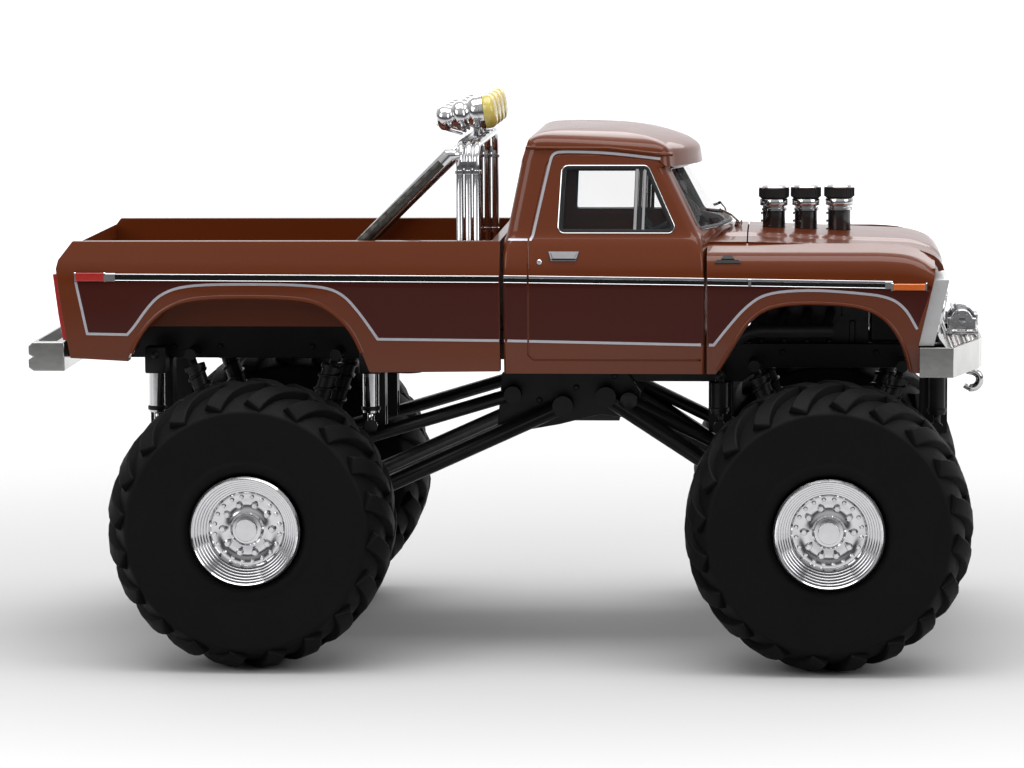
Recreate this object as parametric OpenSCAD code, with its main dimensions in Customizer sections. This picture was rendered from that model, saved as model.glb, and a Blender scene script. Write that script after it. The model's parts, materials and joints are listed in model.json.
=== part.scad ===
// Monster pickup truck, a die-cast 1:43 scale model.
// Millimetres, +X to the front bumper, +Y to the truck's left, +Z up.
// Origin: on the floor, at the centre of the model's footprint box.

/* [Wheels] */
// Distance between the front and rear axles
wheelbase = 78.6; // [70:0.1:95]
// Radius over the tyre's tread
tyre_r = 19.5; // [17:0.1:21]
// Width of a tyre across its sidewalls
tyre_w = 19; // [14:0.5:20]
// Distance between the outer faces of the two wheels of an axle
track_out = 76.4; // [74:0.2:92]
// Radius of the tyre's seat on the rim
seat_r = 7.6; // [6:0.1:9]
// Thickness of the tyre's rubber
rubber_t = 2.6; // [1.5:0.1:3]
// Radius of the steel pin that a wheel turns on
pin_r = 1; // [0.6:0.1:1.4]
// Running clearance of a wheel on its pin, measured on the radius
pin_gap = 0.06; // [0.02:0.01:0.1]

/* [Body] */
// Height of the cab's rocker above the floor
rocker_z = 39.4; // [37:0.1:44]
// Full width over the body's side moulding
body_w = 46.8; // [44:0.1:50]
// Wall of the die-cast body
wall = 1; // [0.7:0.05:1.3]
// Length of the cargo bed
bed_len = 61; // [55:0.5:66]
// Depth of the cargo bed from its rail to its floor
bed_depth = 11.4; // [9:0.1:12]
// Thickness of the bed and cab floors
floor_t = 0.9; // [0.6:0.1:1.2]

/* [Chassis] */
// Distance between the centres of the two frame rails
rail_gap = 18.4; // [17:0.1:20]
// Width of a frame rail
rail_w = 2.4; // [1.8:0.1:2.8]
// Depth of a frame rail
rail_h = 5.4; // [4:0.1:6]
// Radius of an axle tube
axle_r = 2.3; // [1.8:0.1:2.8]
// Length of a leaf spring between its eyes
leaf_span = 30; // [28:0.5:32]
// Radius of a driveshaft
shaft_r = 1; // [0.7:0.1:1.2]

/* [Hidden] */
$fn = 48;
// Paper-thin gap between pieces that rest on each other
seat_gap = 0.03;
// Half of what a longer wheelbase adds. The footprint runs from the rear bumper to the tow hook,
// and its middle is the origin
stretch = (wheelbase - 78.6) / 2;
rear_x = -5.7 - bed_len - stretch - 4.3;
front_x = 61.6 + stretch;
mid_x = -(rear_x + front_x) / 2;

// Heights that follow the rocker
belt_z = rocker_z + 18.2;
moulding_z = rocker_z + 13.1;
rail_top_z = rocker_z + 3;
rail_z = rail_top_z - rail_h;
half_w = body_w / 2;

// Stations along the truck. The cab's and the nose's are measured in the body's own place,
// and the bed's from the wheelbase's middle
cab_back_x = -5.2;
bed_front_x = cab_back_x - 0.5 + stretch;
bed_back_x = -5.7 - bed_len - stretch;
door_front_x = 22.4;
nose_x = 53.6;
rear_axle_x = -wheelbase / 2;
front_axle_x = wheelbase / 2;
axle_xs = [rear_axle_x, front_axle_x];

wheel_y = track_out / 2;
tyre_y = wheel_y - tyre_w;
rail_y = rail_gap / 2;
housing_y = tyre_y - 0.6;
diff_r = 4.6;
floor_top = belt_z - bed_depth;
bed_rail_top = floor_top - floor_t - seat_gap;
case_z = rail_z - 4.6;
case_x = 4;
bar_y = rail_y + rail_w / 2 + 2.1;
coil_y = rail_y + rail_w / 2 + 5.3;
shock_y = rail_y + rail_w / 2 + 4.8;
base_screw_xs = [-20 - stretch, 20 + stretch];
screw_r = 1;

// Body parts' places
cab_floor_top = rail_top_z + floor_t + seat_gap;
hood_w = half_w - 5.8;
lamp_r = 2.7;
stack_xs = [31.7, 36.2, 40.9];
stack_r = 1.45;
bed_in = half_w - 2.9;
tub_y = bed_in - 4;
tail_w = half_w - 3.2;
hoop_xs = [-11.4, -10.25, -9.1];
hoop_y = bed_in - 1.6;
bar_r = 0.52;
lamp_gap = min(7, (hoop_y - 4) / 2);
lamp_ys = [for (i = [-1.5:1.5]) i * lamp_gap];

// ---------- helpers ----------

// Places what is drawn from the wheelbase's middle
module on_truck() {
    translate([mid_x, 0, 0]) children();
}

// Places what stays with the cab, and so with the front axle, when the wheelbase changes
module on_body() {
    translate([mid_x + stretch, 0, 0]) children();
}

// Both sides of the truck: the left one as drawn, the right one mirrored
module both_sides() {
    children();
    mirror([0, 1, 0]) children();
}

// A side outline, points [x, z], extruded from y0 to y1
module side_plate(pts, y0, y1) {
    translate([0, y1, 0]) rotate([90, 0, 0]) linear_extrude(y1 - y0) polygon(pts);
}

// A cross-section, points [y, z], extruded from x0 to x1
module cross_plate(pts, x0, x1) {
    translate([x0, 0, 0]) rotate([90, 0, 90]) linear_extrude(x1 - x0) polygon(pts);
}

// A box given by its low and high corners
module span(lo, hi) {
    translate(lo) cube(hi - lo);
}

// A round rod between two points
module rod(a, b, r, sides = 24) {
    d = b - a;
    len = norm(d);
    translate(a) rotate([0, acos(d[2] / len), atan2(d[1], d[0])]) cylinder(h = len, r = r, $fn = sides);
}

// A cylinder lying across the truck, from y0 to y1
module cross_rod(x, z, r, y0, y1) {
    translate([x, y1, z]) rotate([90, 0, 0]) cylinder(h = y1 - y0, r = r);
}

// Points of a circular arc, from angle a0 to a1
function arc(cx, cy, r, a0, a1, n = 6) =
    [for (i = [0:n]) let (a = a0 + (a1 - a0) * i / n) [cx + r * cos(a), cy + r * sin(a)]];

// A closed skin over loops of points, all with the same count
module skin(loops) {
    n = len(loops[0]);
    m = len(loops);
    sides = [for (k = [0:m - 2]) for (i = [0:n - 1]) let (j = (i + 1) % n) each [
        [k * n + i, (k + 1) * n + j, (k + 1) * n + i],
        [k * n + i, k * n + j, (k + 1) * n + j]
    ]];
    low = [[for (i = [0:n - 1]) n - 1 - i]];
    high = [[for (i = [0:n - 1]) (m - 1) * n + i]];
    polyhedron(points = [for (l = loops) each l], faces = concat(low, sides, high), convexity = 6);
}

// Unit vector along v
function unit(v) = v / norm(v);

// A round tube along a path that lies in the plane with the normal n
module tube(path, r, n, sides = 12) {
    last = len(path) - 1;
    skin([for (i = [0:last]) let (
        t = unit(path[min(i + 1, last)] - path[max(i - 1, 0)]),
        ta = unit(path[max(i, 1)] - path[max(i, 1) - 1]),
        u = unit(cross(t, n)),
        stretch = 1 / max(0.5, abs(t * ta))
    ) [for (k = [0:sides - 1]) path[i] + r * (cos(k * 360 / sides) * u * stretch + sin(k * 360 / sides) * n)]]);
}

// ---------- cab ----------

// Half width of the body at height z above the rocker
function side_y(z) = lookup(z, [
    [0, half_w - 0.9], [4, half_w - 0.4], [12, half_w], [15, half_w - 0.3],
    [18.2, half_w - 1.5], [18.9, half_w - 2.1], [30.4, half_w - 5], [31.2, half_w - 5.1],
    [31.8, half_w - 5.5], [32.3, half_w - 7], [32.8, half_w - 10], [33.1, half_w - 16]
]);

// The cab's levels: [height above rocker, rear x, front x at the sides, front bulge, nose drop]
cab_levels = [
    [0, 0, 27.6, 0, 0],
    [12, 0, 27.6, 0.2, 0],
    [18.2, 0, 27.2, 3, 0],
    [18.9, 0.3, 26.8, 4.6, 0],
    [24.5, 1.4, 24.1, 3.6, 0.4],
    [28.6, 2.2, 22.2, 3, 0.9],
    [28.8, 2.2, 22.9, 3.9, 0.9],
    [31.2, 3.4, 22.6, 3.7, 1.5],
    [31.8, 3.7, 22.2, 3.4, 1.7],
    [32.3, 4.6, 20.6, 3, 1.7],
    [32.8, 7, 17.6, 2, 1.5],
    [33.1, 12, 13.6, 0.5, 0.5]
];

// One level's outline seen from above, lowered towards the nose; t thins it for the inside
function cab_loop(level, t) =
    let (
        z = level[0], xr = cab_back_x + level[1] + t, xf = cab_back_x + level[2] - t,
        b = level[3], drop = level[4], w = max(side_y(z) - t, 1), c = min(1.6, w / 3, (xf - xr) / 3)
    )
    [for (p = concat(
        arc(xr + c, -w + c, c, -90, -180, 4),
        arc(xr + c, w - c, c, 180, 90, 4),
        arc(xf - c, w - c, c, 90, 0, 4),
        [for (i = [1:11]) let (y = (w - c) * (1 - i / 6)) [xf + b * (1 - pow(y / (w - c), 2)), y]],
        arc(xf - c, -w + c, c, 0, -90, 4)
    )) let (f = max(0, min(1, (p[0] - cab_back_x) / 27))) [p[0], p[1], rocker_z + z - drop * f * f]];

// The volume within the cab's walls, t inside its outer skin
module cab_inside(t) {
    levels = [for (l = cab_levels) if (l[0] < 32.4) l];
    loops = [for (l = levels) [for (p = cab_loop(l, t)) [p[0], p[1], l[0] > 30 ? p[2] - t * 0.9 : p[2]]]];
    lowest = [for (p = loops[0]) [p[0], p[1], rocker_z - 1]];
    skin(concat([lowest], loops));
}

// A door window's outline, grown by g
function window_pts(g) = concat(
    arc(3.1, belt_z + 1.9, 0.7 + g, 180, 270, 4),
    arc(17.3, belt_z + 1.9, 0.7 + g, 270, 385, 4),
    arc(13.9, rocker_z + 27.4, 0.8 + g, 25, 90, 4),
    arc(3.6, rocker_z + 27.4, 0.8 + g, 90, 180, 4)
);

// The rear window's outline, points [y, z], grown by g
function rear_window_pts(g) = concat(
    arc(10.4 - half_w, belt_z + 3.1, 1 + g, 180, 270, 4),
    arc(half_w - 10.4, belt_z + 3.1, 1 + g, 270, 360, 4),
    arc(half_w - 11.4, rocker_z + 26.2, 1 + g, 0, 90, 4),
    arc(11.4 - half_w, rocker_z + 26.2, 1 + g, 90, 180, 4)
);

// The windshield's outline, points [y, z], grown by g
function windshield_pts(g) = concat(
    arc(5.6 - half_w, belt_z + 2.1, 0.7 + g, 180, 270, 4),
    arc(half_w - 5.6, belt_z + 2.1, 0.7 + g, 270, 360, 4),
    arc(half_w - 8, rocker_z + 26.9, 0.8 + g, 0, 90, 4),
    arc(8 - half_w, rocker_z + 26.9, 0.8 + g, 90, 180, 4)
);

module side_opening(g) { side_plate(window_pts(g), -half_w, half_w); }
module rear_opening(g) { cross_plate(rear_window_pts(g), cab_back_x - 2, cab_back_x + 8); }
module front_opening(g) { cross_plate(windshield_pts(g), 12, 32); }

// A glass pane's sheet, which lies within the thickness of the cab's wall
module glass_sheet() {
    difference() {
        cab_inside(0.2);
        cab_inside(0.8);
    }
}

// Cab casting: roof, pillars, doors, rockers and firewall in one piece
module cab_shell() {
    color("saddlebrown") on_body() difference() {
        skin([for (l = cab_levels) cab_loop(l, 0)]);
        cab_inside(wall);
        side_opening(0);
        rear_opening(0);
        front_opening(0);
        span([cab_back_x - 1, 2.2 - half_w, rocker_z - 2], [30, half_w - 2.2, cab_floor_top + seat_gap]);
    }
}

module windshield() {
    color("lightblue") on_body() intersection() {
        glass_sheet();
        front_opening(-seat_gap);
    }
}

module side_windows() {
    color("lightblue") on_body() intersection() {
        glass_sheet();
        side_opening(-seat_gap);
    }
}

module rear_window() {
    color("lightblue") on_body() intersection() {
        glass_sheet();
        rear_opening(-seat_gap);
    }
}

// Cab floor, a flat tray that lies on the frame rails
module cab_floor() {
    w = half_w - 2.2 - seat_gap;
    color("dimgray") on_body() span([cab_back_x, -w, rail_top_z + seat_gap], [door_front_x, w, cab_floor_top]);
}

// Bench seat moulded in one piece, cushion and backrest
module bench_seat() {
    z = cab_floor_top;
    color("black") on_body() side_plate(concat(
        [[-3.4, z], [9.5, z]],
        arc(9.3, z + 4.3, 1.2, -20, 90, 5),
        [[1.4, z + 4.6]],
        arc(-1.4, z + 14, 1, 20, 170, 6)
    ), 4.4 - half_w, half_w - 4.4);
}

module dashboard() {
    x = door_front_x - wall;
    color("black") on_body() side_plate(concat(
        [[x - 0.05, cab_floor_top + 7], [x - 0.05, moulding_z - 1], [x - 0.5, belt_z - 0.6]],
        arc(x - 3.2, belt_z - 1.4, 0.8, 90, 180, 4),
        [[x - 3.6, cab_floor_top + 9]]
    ), 3.4 - half_w, half_w - 3.4);
}

// Steering wheel on its column, at the left of the cab
module steering_wheel() {
    color("black") on_body() translate([14, 9, belt_z - 1.2]) rotate([0, 62, 0]) {
        rotate_extrude() translate([4.1, 0]) circle(r = 0.42);
        cylinder(h = 0.7, r = 1, center = true);
        for (a = [30, 150, 270]) rotate([0, 0, a]) translate([0, -0.3, -0.25]) cube([4.1, 0.6, 0.5]);
        cylinder(h = 4.15, r = 0.45);
    }
}

// ---------- front body ----------

// The front wheel arch's outline, open below
front_arch = concat(
    [[22.6, rocker_z - 2], [24.3, rocker_z + 0.6], [27.2, rocker_z + 5.7], [28.6, rocker_z + 7.6]],
    [[31, rocker_z + 9.2], [34.8, rocker_z + 9.8], [40.6, rocker_z + 9.7], [44.4, rocker_z + 9.1]],
    [[47, rocker_z + 7.7], [48.8, rocker_z + 5.4], [50, rocker_z + 2.7], [50.9, rocker_z - 2]]
);

// The slanted line where the fenders end and the grille starts, at height z above the rocker
function face_x(z) = lookup(z, [[0, 52.3], [4, 51.5], [13.2, nose_x], [16, nose_x + 0.4]]);

// The fenders' outline from the side
fender_outline = [
    [door_front_x + 0.25, rocker_z], [face_x(0), rocker_z + 0.2], [face_x(4), rocker_z + 4],
    [face_x(13.2), rocker_z + 13.2], [face_x(13.2) - 0.1, rocker_z + 15.2], [nose_x - 1.2, rocker_z + 16.1],
    [50, rocker_z + 17], [door_front_x + 0.9, rocker_z + 18.5], [door_front_x + 0.25, rocker_z + 14]
];

// Half of the fenders' cross-section, from the rocker round to the hood's edge
function fender_side(t) = [
    [half_w - 0.9 - t, rocker_z - 1], [half_w - 0.9 - t, rocker_z], [half_w - 0.4 - t, rocker_z + 4],
    [half_w - t, rocker_z + 12], [half_w - 0.3 - t, rocker_z + 15],
    [half_w - 1.3 - t, rocker_z + 16.2 - t], [hood_w - 0.6, rocker_z + 17.6 - t]
];

// Front fenders with the radiator wall that joins them, in one casting
module front_fenders() {
    color("saddlebrown") on_body() difference() {
        intersection() {
            cross_plate(concat(fender_side(0), [for (i = [6:-1:0]) let (p = fender_side(0)[i]) [-p[0], p[1]]]), 22, 56);
            side_plate(fender_outline, -half_w, half_w);
        }
        intersection() {
            cross_plate(concat(fender_side(wall), [for (i = [6:-1:0]) let (p = fender_side(wall)[i]) [-p[0], p[1]]]), 22, nose_x);
            side_plate([[20, 30], [49.5, 30], [face_x(4) - 1, rocker_z + 4], [face_x(13.2) - 1, rocker_z + 13.2], [face_x(13.2) - 1, 90], [20, 90]], -half_w, half_w);
        }
        span([20, -hood_w, rocker_z + 10], [nose_x - 2.2, hood_w, rocker_z + 30]);
        span([nose_x - 4, -hood_w, rocker_z + 14.6], [nose_x + 1, hood_w, rocker_z + 30]);
        span([nose_x - 4, 9.4 - half_w, rocker_z + 5.5], [nose_x + 1, half_w - 9.4, rocker_z + 12.5]);
        side_plate(front_arch, -half_w - 1, half_w + 1);
        span([49, 3 - half_w, rocker_z - 2], [nose_x, half_w - 3, rocker_z + 3.8]);
    }
}

// Hood: a crowned plate with a lip at the front and three holes for the stacks
hood_loops = [for (x = [27.7, 29, 42.9, 50.5, 53.6, 55.1]) let (
    z = rocker_z + lookup(x, [[27, 18.7], [29, 18.6], [42.9, 18], [50.5, 17.8], [53.6, 16.8], [55.1, 14.8]]))
    [for (p = [[-1, -1.5], [-0.97, -1.35], [-0.66, -0.85], [-0.6, -0.2], [0, 0.1], [0.6, -0.2], [0.66, -0.85], [0.97, -1.35], [1, -1.5]])
        [x, p[0] * (hood_w - 0.1), z + p[1] * 0.55]]];

module hood() {
    t = 0.9;
    color("saddlebrown") on_body() difference() {
        skin([for (l = hood_loops) concat(
            [for (p = l) p],
            [for (i = [len(l) - 1:-1:0]) [l[i][0], l[i][1], l[i][2] - t]]
        )]);
        for (x = stack_xs) translate([x, 0, rocker_z + 10]) cylinder(h = 20, r = stack_r + 0.1);
    }
}

// A slab that follows the fenders' slanted front, from depth a to depth b, between two heights
module face_slab(a, b, z0, z1, w) {
    side_plate([
        [face_x(z0) + a, rocker_z + z0], [face_x(z0) + b, rocker_z + z0],
        [face_x(z1) + b, rocker_z + z1], [face_x(z1) + a, rocker_z + z1]
    ], -w, w);
}

module at_headlights() {
    lean = atan((face_x(13.2) - face_x(4)) / 9.2);
    for (s = [-1, 1]) translate([face_x(8.6), s * (half_w - 5.5), rocker_z + 8.6]) rotate([0, 90 + lean, 0]) children();
}

// Grille insert: surround, crossing bars and the two lamp sockets
module grille() {
    color("silver") on_body() {
        difference() {
            face_slab(seat_gap, 2.1, 4, 13, half_w - 0.7);
            face_slab(-1, 3, 5, 12.2, half_w - 10);
            at_headlights() translate([0, 0, -1]) cylinder(h = 5, r = lamp_r + 0.05);
        }
        intersection() {
            face_slab(0.4, 1.5, 4.8, 12.4, half_w - 9.8);
            union() {
                for (i = [1:3]) span([40, -14, rocker_z + 4.8 + i * 1.9], [60, 14, rocker_z + 5.2 + i * 1.9]);
                for (i = [-5:5]) span([40, i * 2.3 - 0.2, rocker_z], [60, i * 2.3 + 0.2, rocker_z + 16]);
            }
        }
    }
}

module headlights() {
    color("white") on_body() at_headlights() {
        translate([0, 0, 0.2]) cylinder(h = 1.4, r = lamp_r);
        translate([0, 0, 1.6]) cylinder(h = 0.35, r1 = lamp_r, r2 = lamp_r - 1.2);
    }
}

// Amber lamps in the fenders' side moulding
module front_marker_lamps() {
    color("orange") on_body() both_sides()
        span([47.9, half_w + seat_gap, rocker_z + 11.5], [52.5, half_w + 0.45, rocker_z + 12.7]);
}

// ---------- cargo bed ----------

bed_outline = [
    [bed_front_x, rocker_z + 0.3], [rear_axle_x + 16.4, rocker_z + 0.1], [rear_axle_x - 18.7, rocker_z + 1.6], [bed_back_x + 1.5, rocker_z + 2],
    [bed_back_x + 0.5, rocker_z + 8], [bed_back_x - 0.3, rocker_z + 14.4], [bed_back_x, rocker_z + 15.6],
    [bed_back_x + 1.9, rocker_z + 18.1], [bed_front_x, rocker_z + 18.2]
];

// The rear wheel arch's outline, grown by g
function rear_arch(g) = [
    [rear_axle_x - 18.1 - g, rocker_z - 2], [rear_axle_x - 17.8 - g, rocker_z + 2.1], [rear_axle_x - 15.5 - g, rocker_z + 6.2 + g * 0.6],
    [rear_axle_x - 12.3 - g * 0.6, rocker_z + 9.1 + g], [rear_axle_x - 8.4, rocker_z + 10.2 + g],
    [rear_axle_x - 0.8, rocker_z + 10.4 + g], [rear_axle_x + 7.1, rocker_z + 10.1 + g], [rear_axle_x + 10.0 + g * 0.6, rocker_z + 8.8 + g],
    [rear_axle_x + 12.8 + g, rocker_z + 6.3 + g * 0.6], [rear_axle_x + 14.3 + g, rocker_z + 3.4], [rear_axle_x + 16.4 + g, rocker_z - 2]
];

bed_side = [
    [half_w - 0.7, rocker_z - 1], [half_w - 0.5, rocker_z + 2], [half_w, rocker_z + 12],
    [half_w - 0.3, rocker_z + 15], [half_w - 1.4, rocker_z + 18.4]
];

// Cargo bed: side walls, front wall, floor with the roll bar's two pads, and the wheel tubs
module cargo_bed() {
    color("saddlebrown") on_truck() difference() {
        union() {
            difference() {
                intersection() {
                    cross_plate(concat(bed_side, [for (i = [4:-1:0]) [-bed_side[i][0], bed_side[i][1]]]), bed_back_x - 1, bed_front_x);
                    side_plate(bed_outline, -half_w, half_w);
                }
                span([bed_back_x - 2, -bed_in, floor_top], [bed_front_x - 1.2, bed_in, rocker_z + 30]);
                span([bed_back_x - 2, -bed_in, rocker_z - 2], [bed_front_x + 1, bed_in, floor_top - floor_t]);
            }
            intersection() {
                side_plate(rear_arch(1), -half_w + 1, half_w - 1);
                union() {
                    span([bed_back_x, tub_y, floor_top - floor_t], [bed_front_x, half_w - 1, rocker_z + 20]);
                    span([bed_back_x, 1 - half_w, floor_top - floor_t], [bed_front_x, -tub_y, rocker_z + 20]);
                }
            }
            both_sides() span([hoop_xs[0] - 1.2 + stretch, hoop_y - 1.2, floor_top - 0.1], [hoop_xs[2] + 1.2 + stretch, bed_in, floor_top + 0.4]);
        }
        intersection() {
            side_plate(rear_arch(0), -half_w - 1, half_w + 1);
            union() {
                span([bed_back_x, tub_y + 0.9, rocker_z - 9], [bed_front_x, half_w + 1, rocker_z + 40]);
                span([bed_back_x, -half_w - 1, rocker_z - 9], [bed_front_x, -tub_y - 0.9, rocker_z + 40]);
            }
        }
        span([bed_back_x - 2, -tail_w, rocker_z - 2], [bed_back_x + 1.3, tail_w, rocker_z + 30]);
    }
}

// Tailgate, set between the bed's rear corners
module tailgate() {
    color("saddlebrown") on_truck() intersection() {
        side_plate(bed_outline, -half_w, half_w);
        span([bed_back_x - 2, -tail_w + seat_gap, floor_top - floor_t - 2], [bed_back_x + 1.3 - seat_gap, tail_w - seat_gap, rocker_z + 18]);
    }
}

// Red lamps on the bed's rear corners and in its side moulding
module tail_lamps() {
    color("red") on_truck() both_sides() {
        difference() {
            side_plate([
                [bed_back_x + 1.05, rocker_z + 4.4], [bed_back_x + 0.45, rocker_z + 8], [bed_back_x - 0.25, rocker_z + 13.6],
                [bed_back_x - 0.9, rocker_z + 13.6], [bed_back_x - 0.2, rocker_z + 8], [bed_back_x + 0.4, rocker_z + 4.4]
            ], tail_w + 0.6, half_w - 1.1);
        }
        span([bed_back_x + 2.5, half_w + seat_gap, rocker_z + 12.7], [bed_back_x + 6.5, half_w + 0.4, rocker_z + 13.9]);
    }
}

// ---------- bumpers, winch and hook ----------

side_w = half_w + 1;
front_plan = [
    [51.6, side_w], [56.2, side_w], [60.1, 12.5], [60.7, 9], [60.7, -9], [60.1, -12.5], [56.2, -side_w], [51.6, -side_w],
    [51.6, 0.5 - side_w], [55.2, 0.5 - side_w], [54.7, -12], [54.7, 12], [55.2, side_w - 0.5], [51.6, side_w - 0.5]
];

module front_bumper() {
    z0 = rocker_z - 0.2;
    deck = rail_top_z + seat_gap;
    color("silver") on_body() {
        difference() {
            translate([0, 0, z0]) linear_extrude(deck + 0.85 - z0) polygon(front_plan);
            translate([0, 0, z0 - 1]) linear_extrude(deck - z0 + 1)
                polygon([
                [54, side_w - 1.1], [55.5, side_w - 1.1], [58.9, 12.2], [59.5, 9], [59.5, -9], [58.9, -12.2],
                [55.5, 1.1 - side_w], [54, 1.1 - side_w]
            ]);
        }
        translate([58.1, -3, z0 - 0.6]) cube([2.4, 6, 0.7]);
    }
}

// Winch: a drum between two end housings on a base plate
module winch() {
    z = rail_top_z + seat_gap * 2 + 0.85;
    color("dimgray") on_body() {
        span([55.8, -6.5, z], [60.4, 6.5, z + 0.5]);
        for (s = [-1, 1]) {
            span([56.1, s * 4.9 - 0.9, z + 0.4], [60.1, s * 4.9 + 0.9, z + 2.2]);
            cross_rod(58.1, z + 1.9, 1.5, s * 4.9 - 0.9, s * 4.9 + 0.9);
        }
        cross_rod(58.1, z + 1.9, 1, -4.1, 4.1);
    }
}

// Tow hook below the bumper's centre, open to the front
module tow_hook() {
    z = rocker_z - 0.8 - seat_gap;
    color("silver") on_body() {
        difference() {
            union() {
                cross_rod(59.7, z - 2.6, 1.9, -0.8, 0.8);
                span([58.4, -0.8, z - 2.6], [59.6, 0.8, z]);
                span([58.2, -2, z - 0.6], [60.6, 2, z]);
            }
            cross_rod(59.9, z - 2.5, 0.85, -1, 1);
            span([59.9, -1, z - 2.5], [62, 1, z - 0.62]);
        }
    }
}

module rear_bumper() {
    color("silver") on_truck() both_sides()
        span([bed_back_x + 0.65, rail_y - 1.2, rocker_z + 0.8], [bed_back_x + 1.35 - seat_gap, rail_y + 1.2, rocker_z + 3.8]);
    color("silver") on_truck() difference() {
        side_plate([
            [bed_back_x + 0.7, rocker_z + 0.2], [bed_back_x - 3.6, rocker_z + 0.2], [rear_x, rocker_z + 0.7], [rear_x, rocker_z + 1.9], [rear_x + 0.6, rocker_z + 2.2],
            [rear_x, rocker_z + 2.5], [rear_x, rocker_z + 3.7], [rear_x + 0.5, rocker_z + 4.2], [bed_back_x + 0.7, rocker_z + 4.2]
        ], 0.2 - half_w, half_w - 0.2);
        span([rear_x + 1.2, 1.2 - half_w, rocker_z - 1], [bed_back_x - 0.3, half_w - 1.2, rocker_z + 3.4]);
    }
}

// ---------- roll bar and lamps ----------

// Path of a hoop at station x: up one leg, across, and down the other
function hoop(x, y, z0, z1, c) = concat(
    [[x, -y, z0]],
    [for (p = arc(-y + c, z1 - c, c, 180, 90, 5)) [x, p[0], p[1]]],
    [for (p = arc(y - c, z1 - c, c, 90, 0, 5)) [x, p[0], p[1]]],
    [[x, y, z0]]
);

module roll_bar() {
    z0 = floor_top + 0.4 + seat_gap;
    z1 = rocker_z + 31.2;
    tub = rocker_z + 11.4 + seat_gap;
    color("silver") on_body() {
        for (x = hoop_xs) tube(hoop(x, hoop_y, z0, z1, 3), bar_r, [1, 0, 0]);
        both_sides() {
            span([hoop_xs[0] - 1, hoop_y - 1, z0], [hoop_xs[2] + 1, hoop_y + 1, z0 + 0.5]);
            for (z = [z0 + 9, z1 - 3.2]) span([hoop_xs[0], hoop_y - 0.4, z], [hoop_xs[2], hoop_y + 0.4, z + 0.9]);
            tube([[hoop_xs[0], hoop_y, z1 - 1.4], [hoop_xs[0] - 1.4, hoop_y, z1 - 1.4], [tub - z1 - 11.4, hoop_y, tub + 0.2]], 0.75, [0, 1, 0]);
            span([tub - z1 - 12.8, hoop_y - 1, tub], [tub - z1 - 10, hoop_y + 1, tub + 0.5]);
        }
        for (y = lamp_ys) span([hoop_xs[1] - 0.3, y - 0.8, z1 - 0.4], [hoop_xs[2] + 0.3, y + 0.8, z1 + 0.58]);
    }
}

module on_lamp(y) {
    translate([-15.2, y, rocker_z + 34.3]) rotate([0, 81, 0]) children();
}

// Row of driving lamps: stepped spun buckets on brackets
module lamp_pods() {
    color("silver") on_body() for (y = lamp_ys) {
        on_lamp(y) rotate_extrude() polygon([
            [0, 0], [1.2, 0], [1.75, 0.5], [1.75, 1.6], [1.45, 1.9], [1.45, 2.2], [2.1, 2.9], [2.1, 3.8],
            [1.75, 4.2], [1.75, 4.5], [2.35, 5.2], [2.35, 6.7], [0, 6.7]
        ]);
        difference() {
            span([hoop_xs[1] + 0.1, y - 0.5, rocker_z + 31.81], [hoop_xs[2] - 0.1, y + 0.5, rocker_z + 34.6]);
        }
    }
}

module lamp_covers() {
    color("yellow") on_body() for (y = lamp_ys) on_lamp(y) translate([0, 0, 6.73])
        rotate_extrude() polygon([[0, 0], [2.4, 0], [2.4, 0.9], [2.1, 1.5], [1.2, 1.75], [0, 1.8]]);
}

// ---------- engine ----------

module engine_block() {
    color("dimgray") on_body() span([28.5, -rail_y + rail_w / 2 + 0.1, rail_z + 2.5], [45, rail_y - rail_w / 2 - 0.1, rocker_z + 12.6]);
}

module exhaust_headers() {
    y0 = rail_y - rail_w / 2;
    z = rail_top_z + 3;
    color("silver") on_body() both_sides() {
        for (i = [0:3]) tube([
            [30 + i * 3.2, y0, z + 1.2], [30 + i * 3.2, y0 + 2, z + 1.2], [29.6 + i * 3.2, y0 + 3.4, z + 0.2], [28.6 + i * 3.2, y0 + 4, z - 0.9]
        ], 0.7, [1, 0, 0]);
        tube([[40, y0 + 4, z - 1], [29.4, y0 + 4, z - 1], [27.9, y0 + 4, z - 1.4], [26.4, y0 + 4, z - 2.4]], 0.95, [0, 1, 0]);
    }
}

module intake_stacks() {
    color("silver") on_body() for (i = [0:2]) translate([stack_xs[i], 0, rocker_z + 12.63]) {
        cylinder(h = 9.9 + i * 0.1, r = stack_r);
        translate([0, 0, 8.9 + i * 0.1]) cylinder(h = 1, r = stack_r + 0.35);
        cylinder(h = 0.8, r = stack_r + 0.6);
    }
}

module air_filters() {
    color("black") on_body() for (i = [0:2]) translate([stack_xs[i], 0, rocker_z + 22.56 + i * 0.1])
        rotate_extrude() polygon([[0, 0], [1.7, 0], [1.95, 0.3], [1.95, 1.3], [1.6, 1.8], [0, 1.9]]);
}

// ---------- chassis ----------

// A rail's outline: raised below the bed, deep below the cab's front half
rail_outline = [
    [bed_back_x + 1.35, bed_rail_top], [bed_back_x + 1.35, rocker_z + 0.8], [stretch + 1.5, rocker_z + 0.6],
    [stretch + 4.5, rail_z], [front_axle_x - 12, rail_z], [front_axle_x - 9, rail_top_z - 3.4],
    [stretch + 56.5, rail_top_z - 3.4], [stretch + 56.5, rail_top_z],
    [bed_front_x - 3, rail_top_z], [bed_front_x - 7, bed_rail_top]
];

module frame_rails() {
    color("black") on_truck() both_sides() side_plate(rail_outline, rail_y - rail_w / 2, rail_y + rail_w / 2);
}

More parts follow.
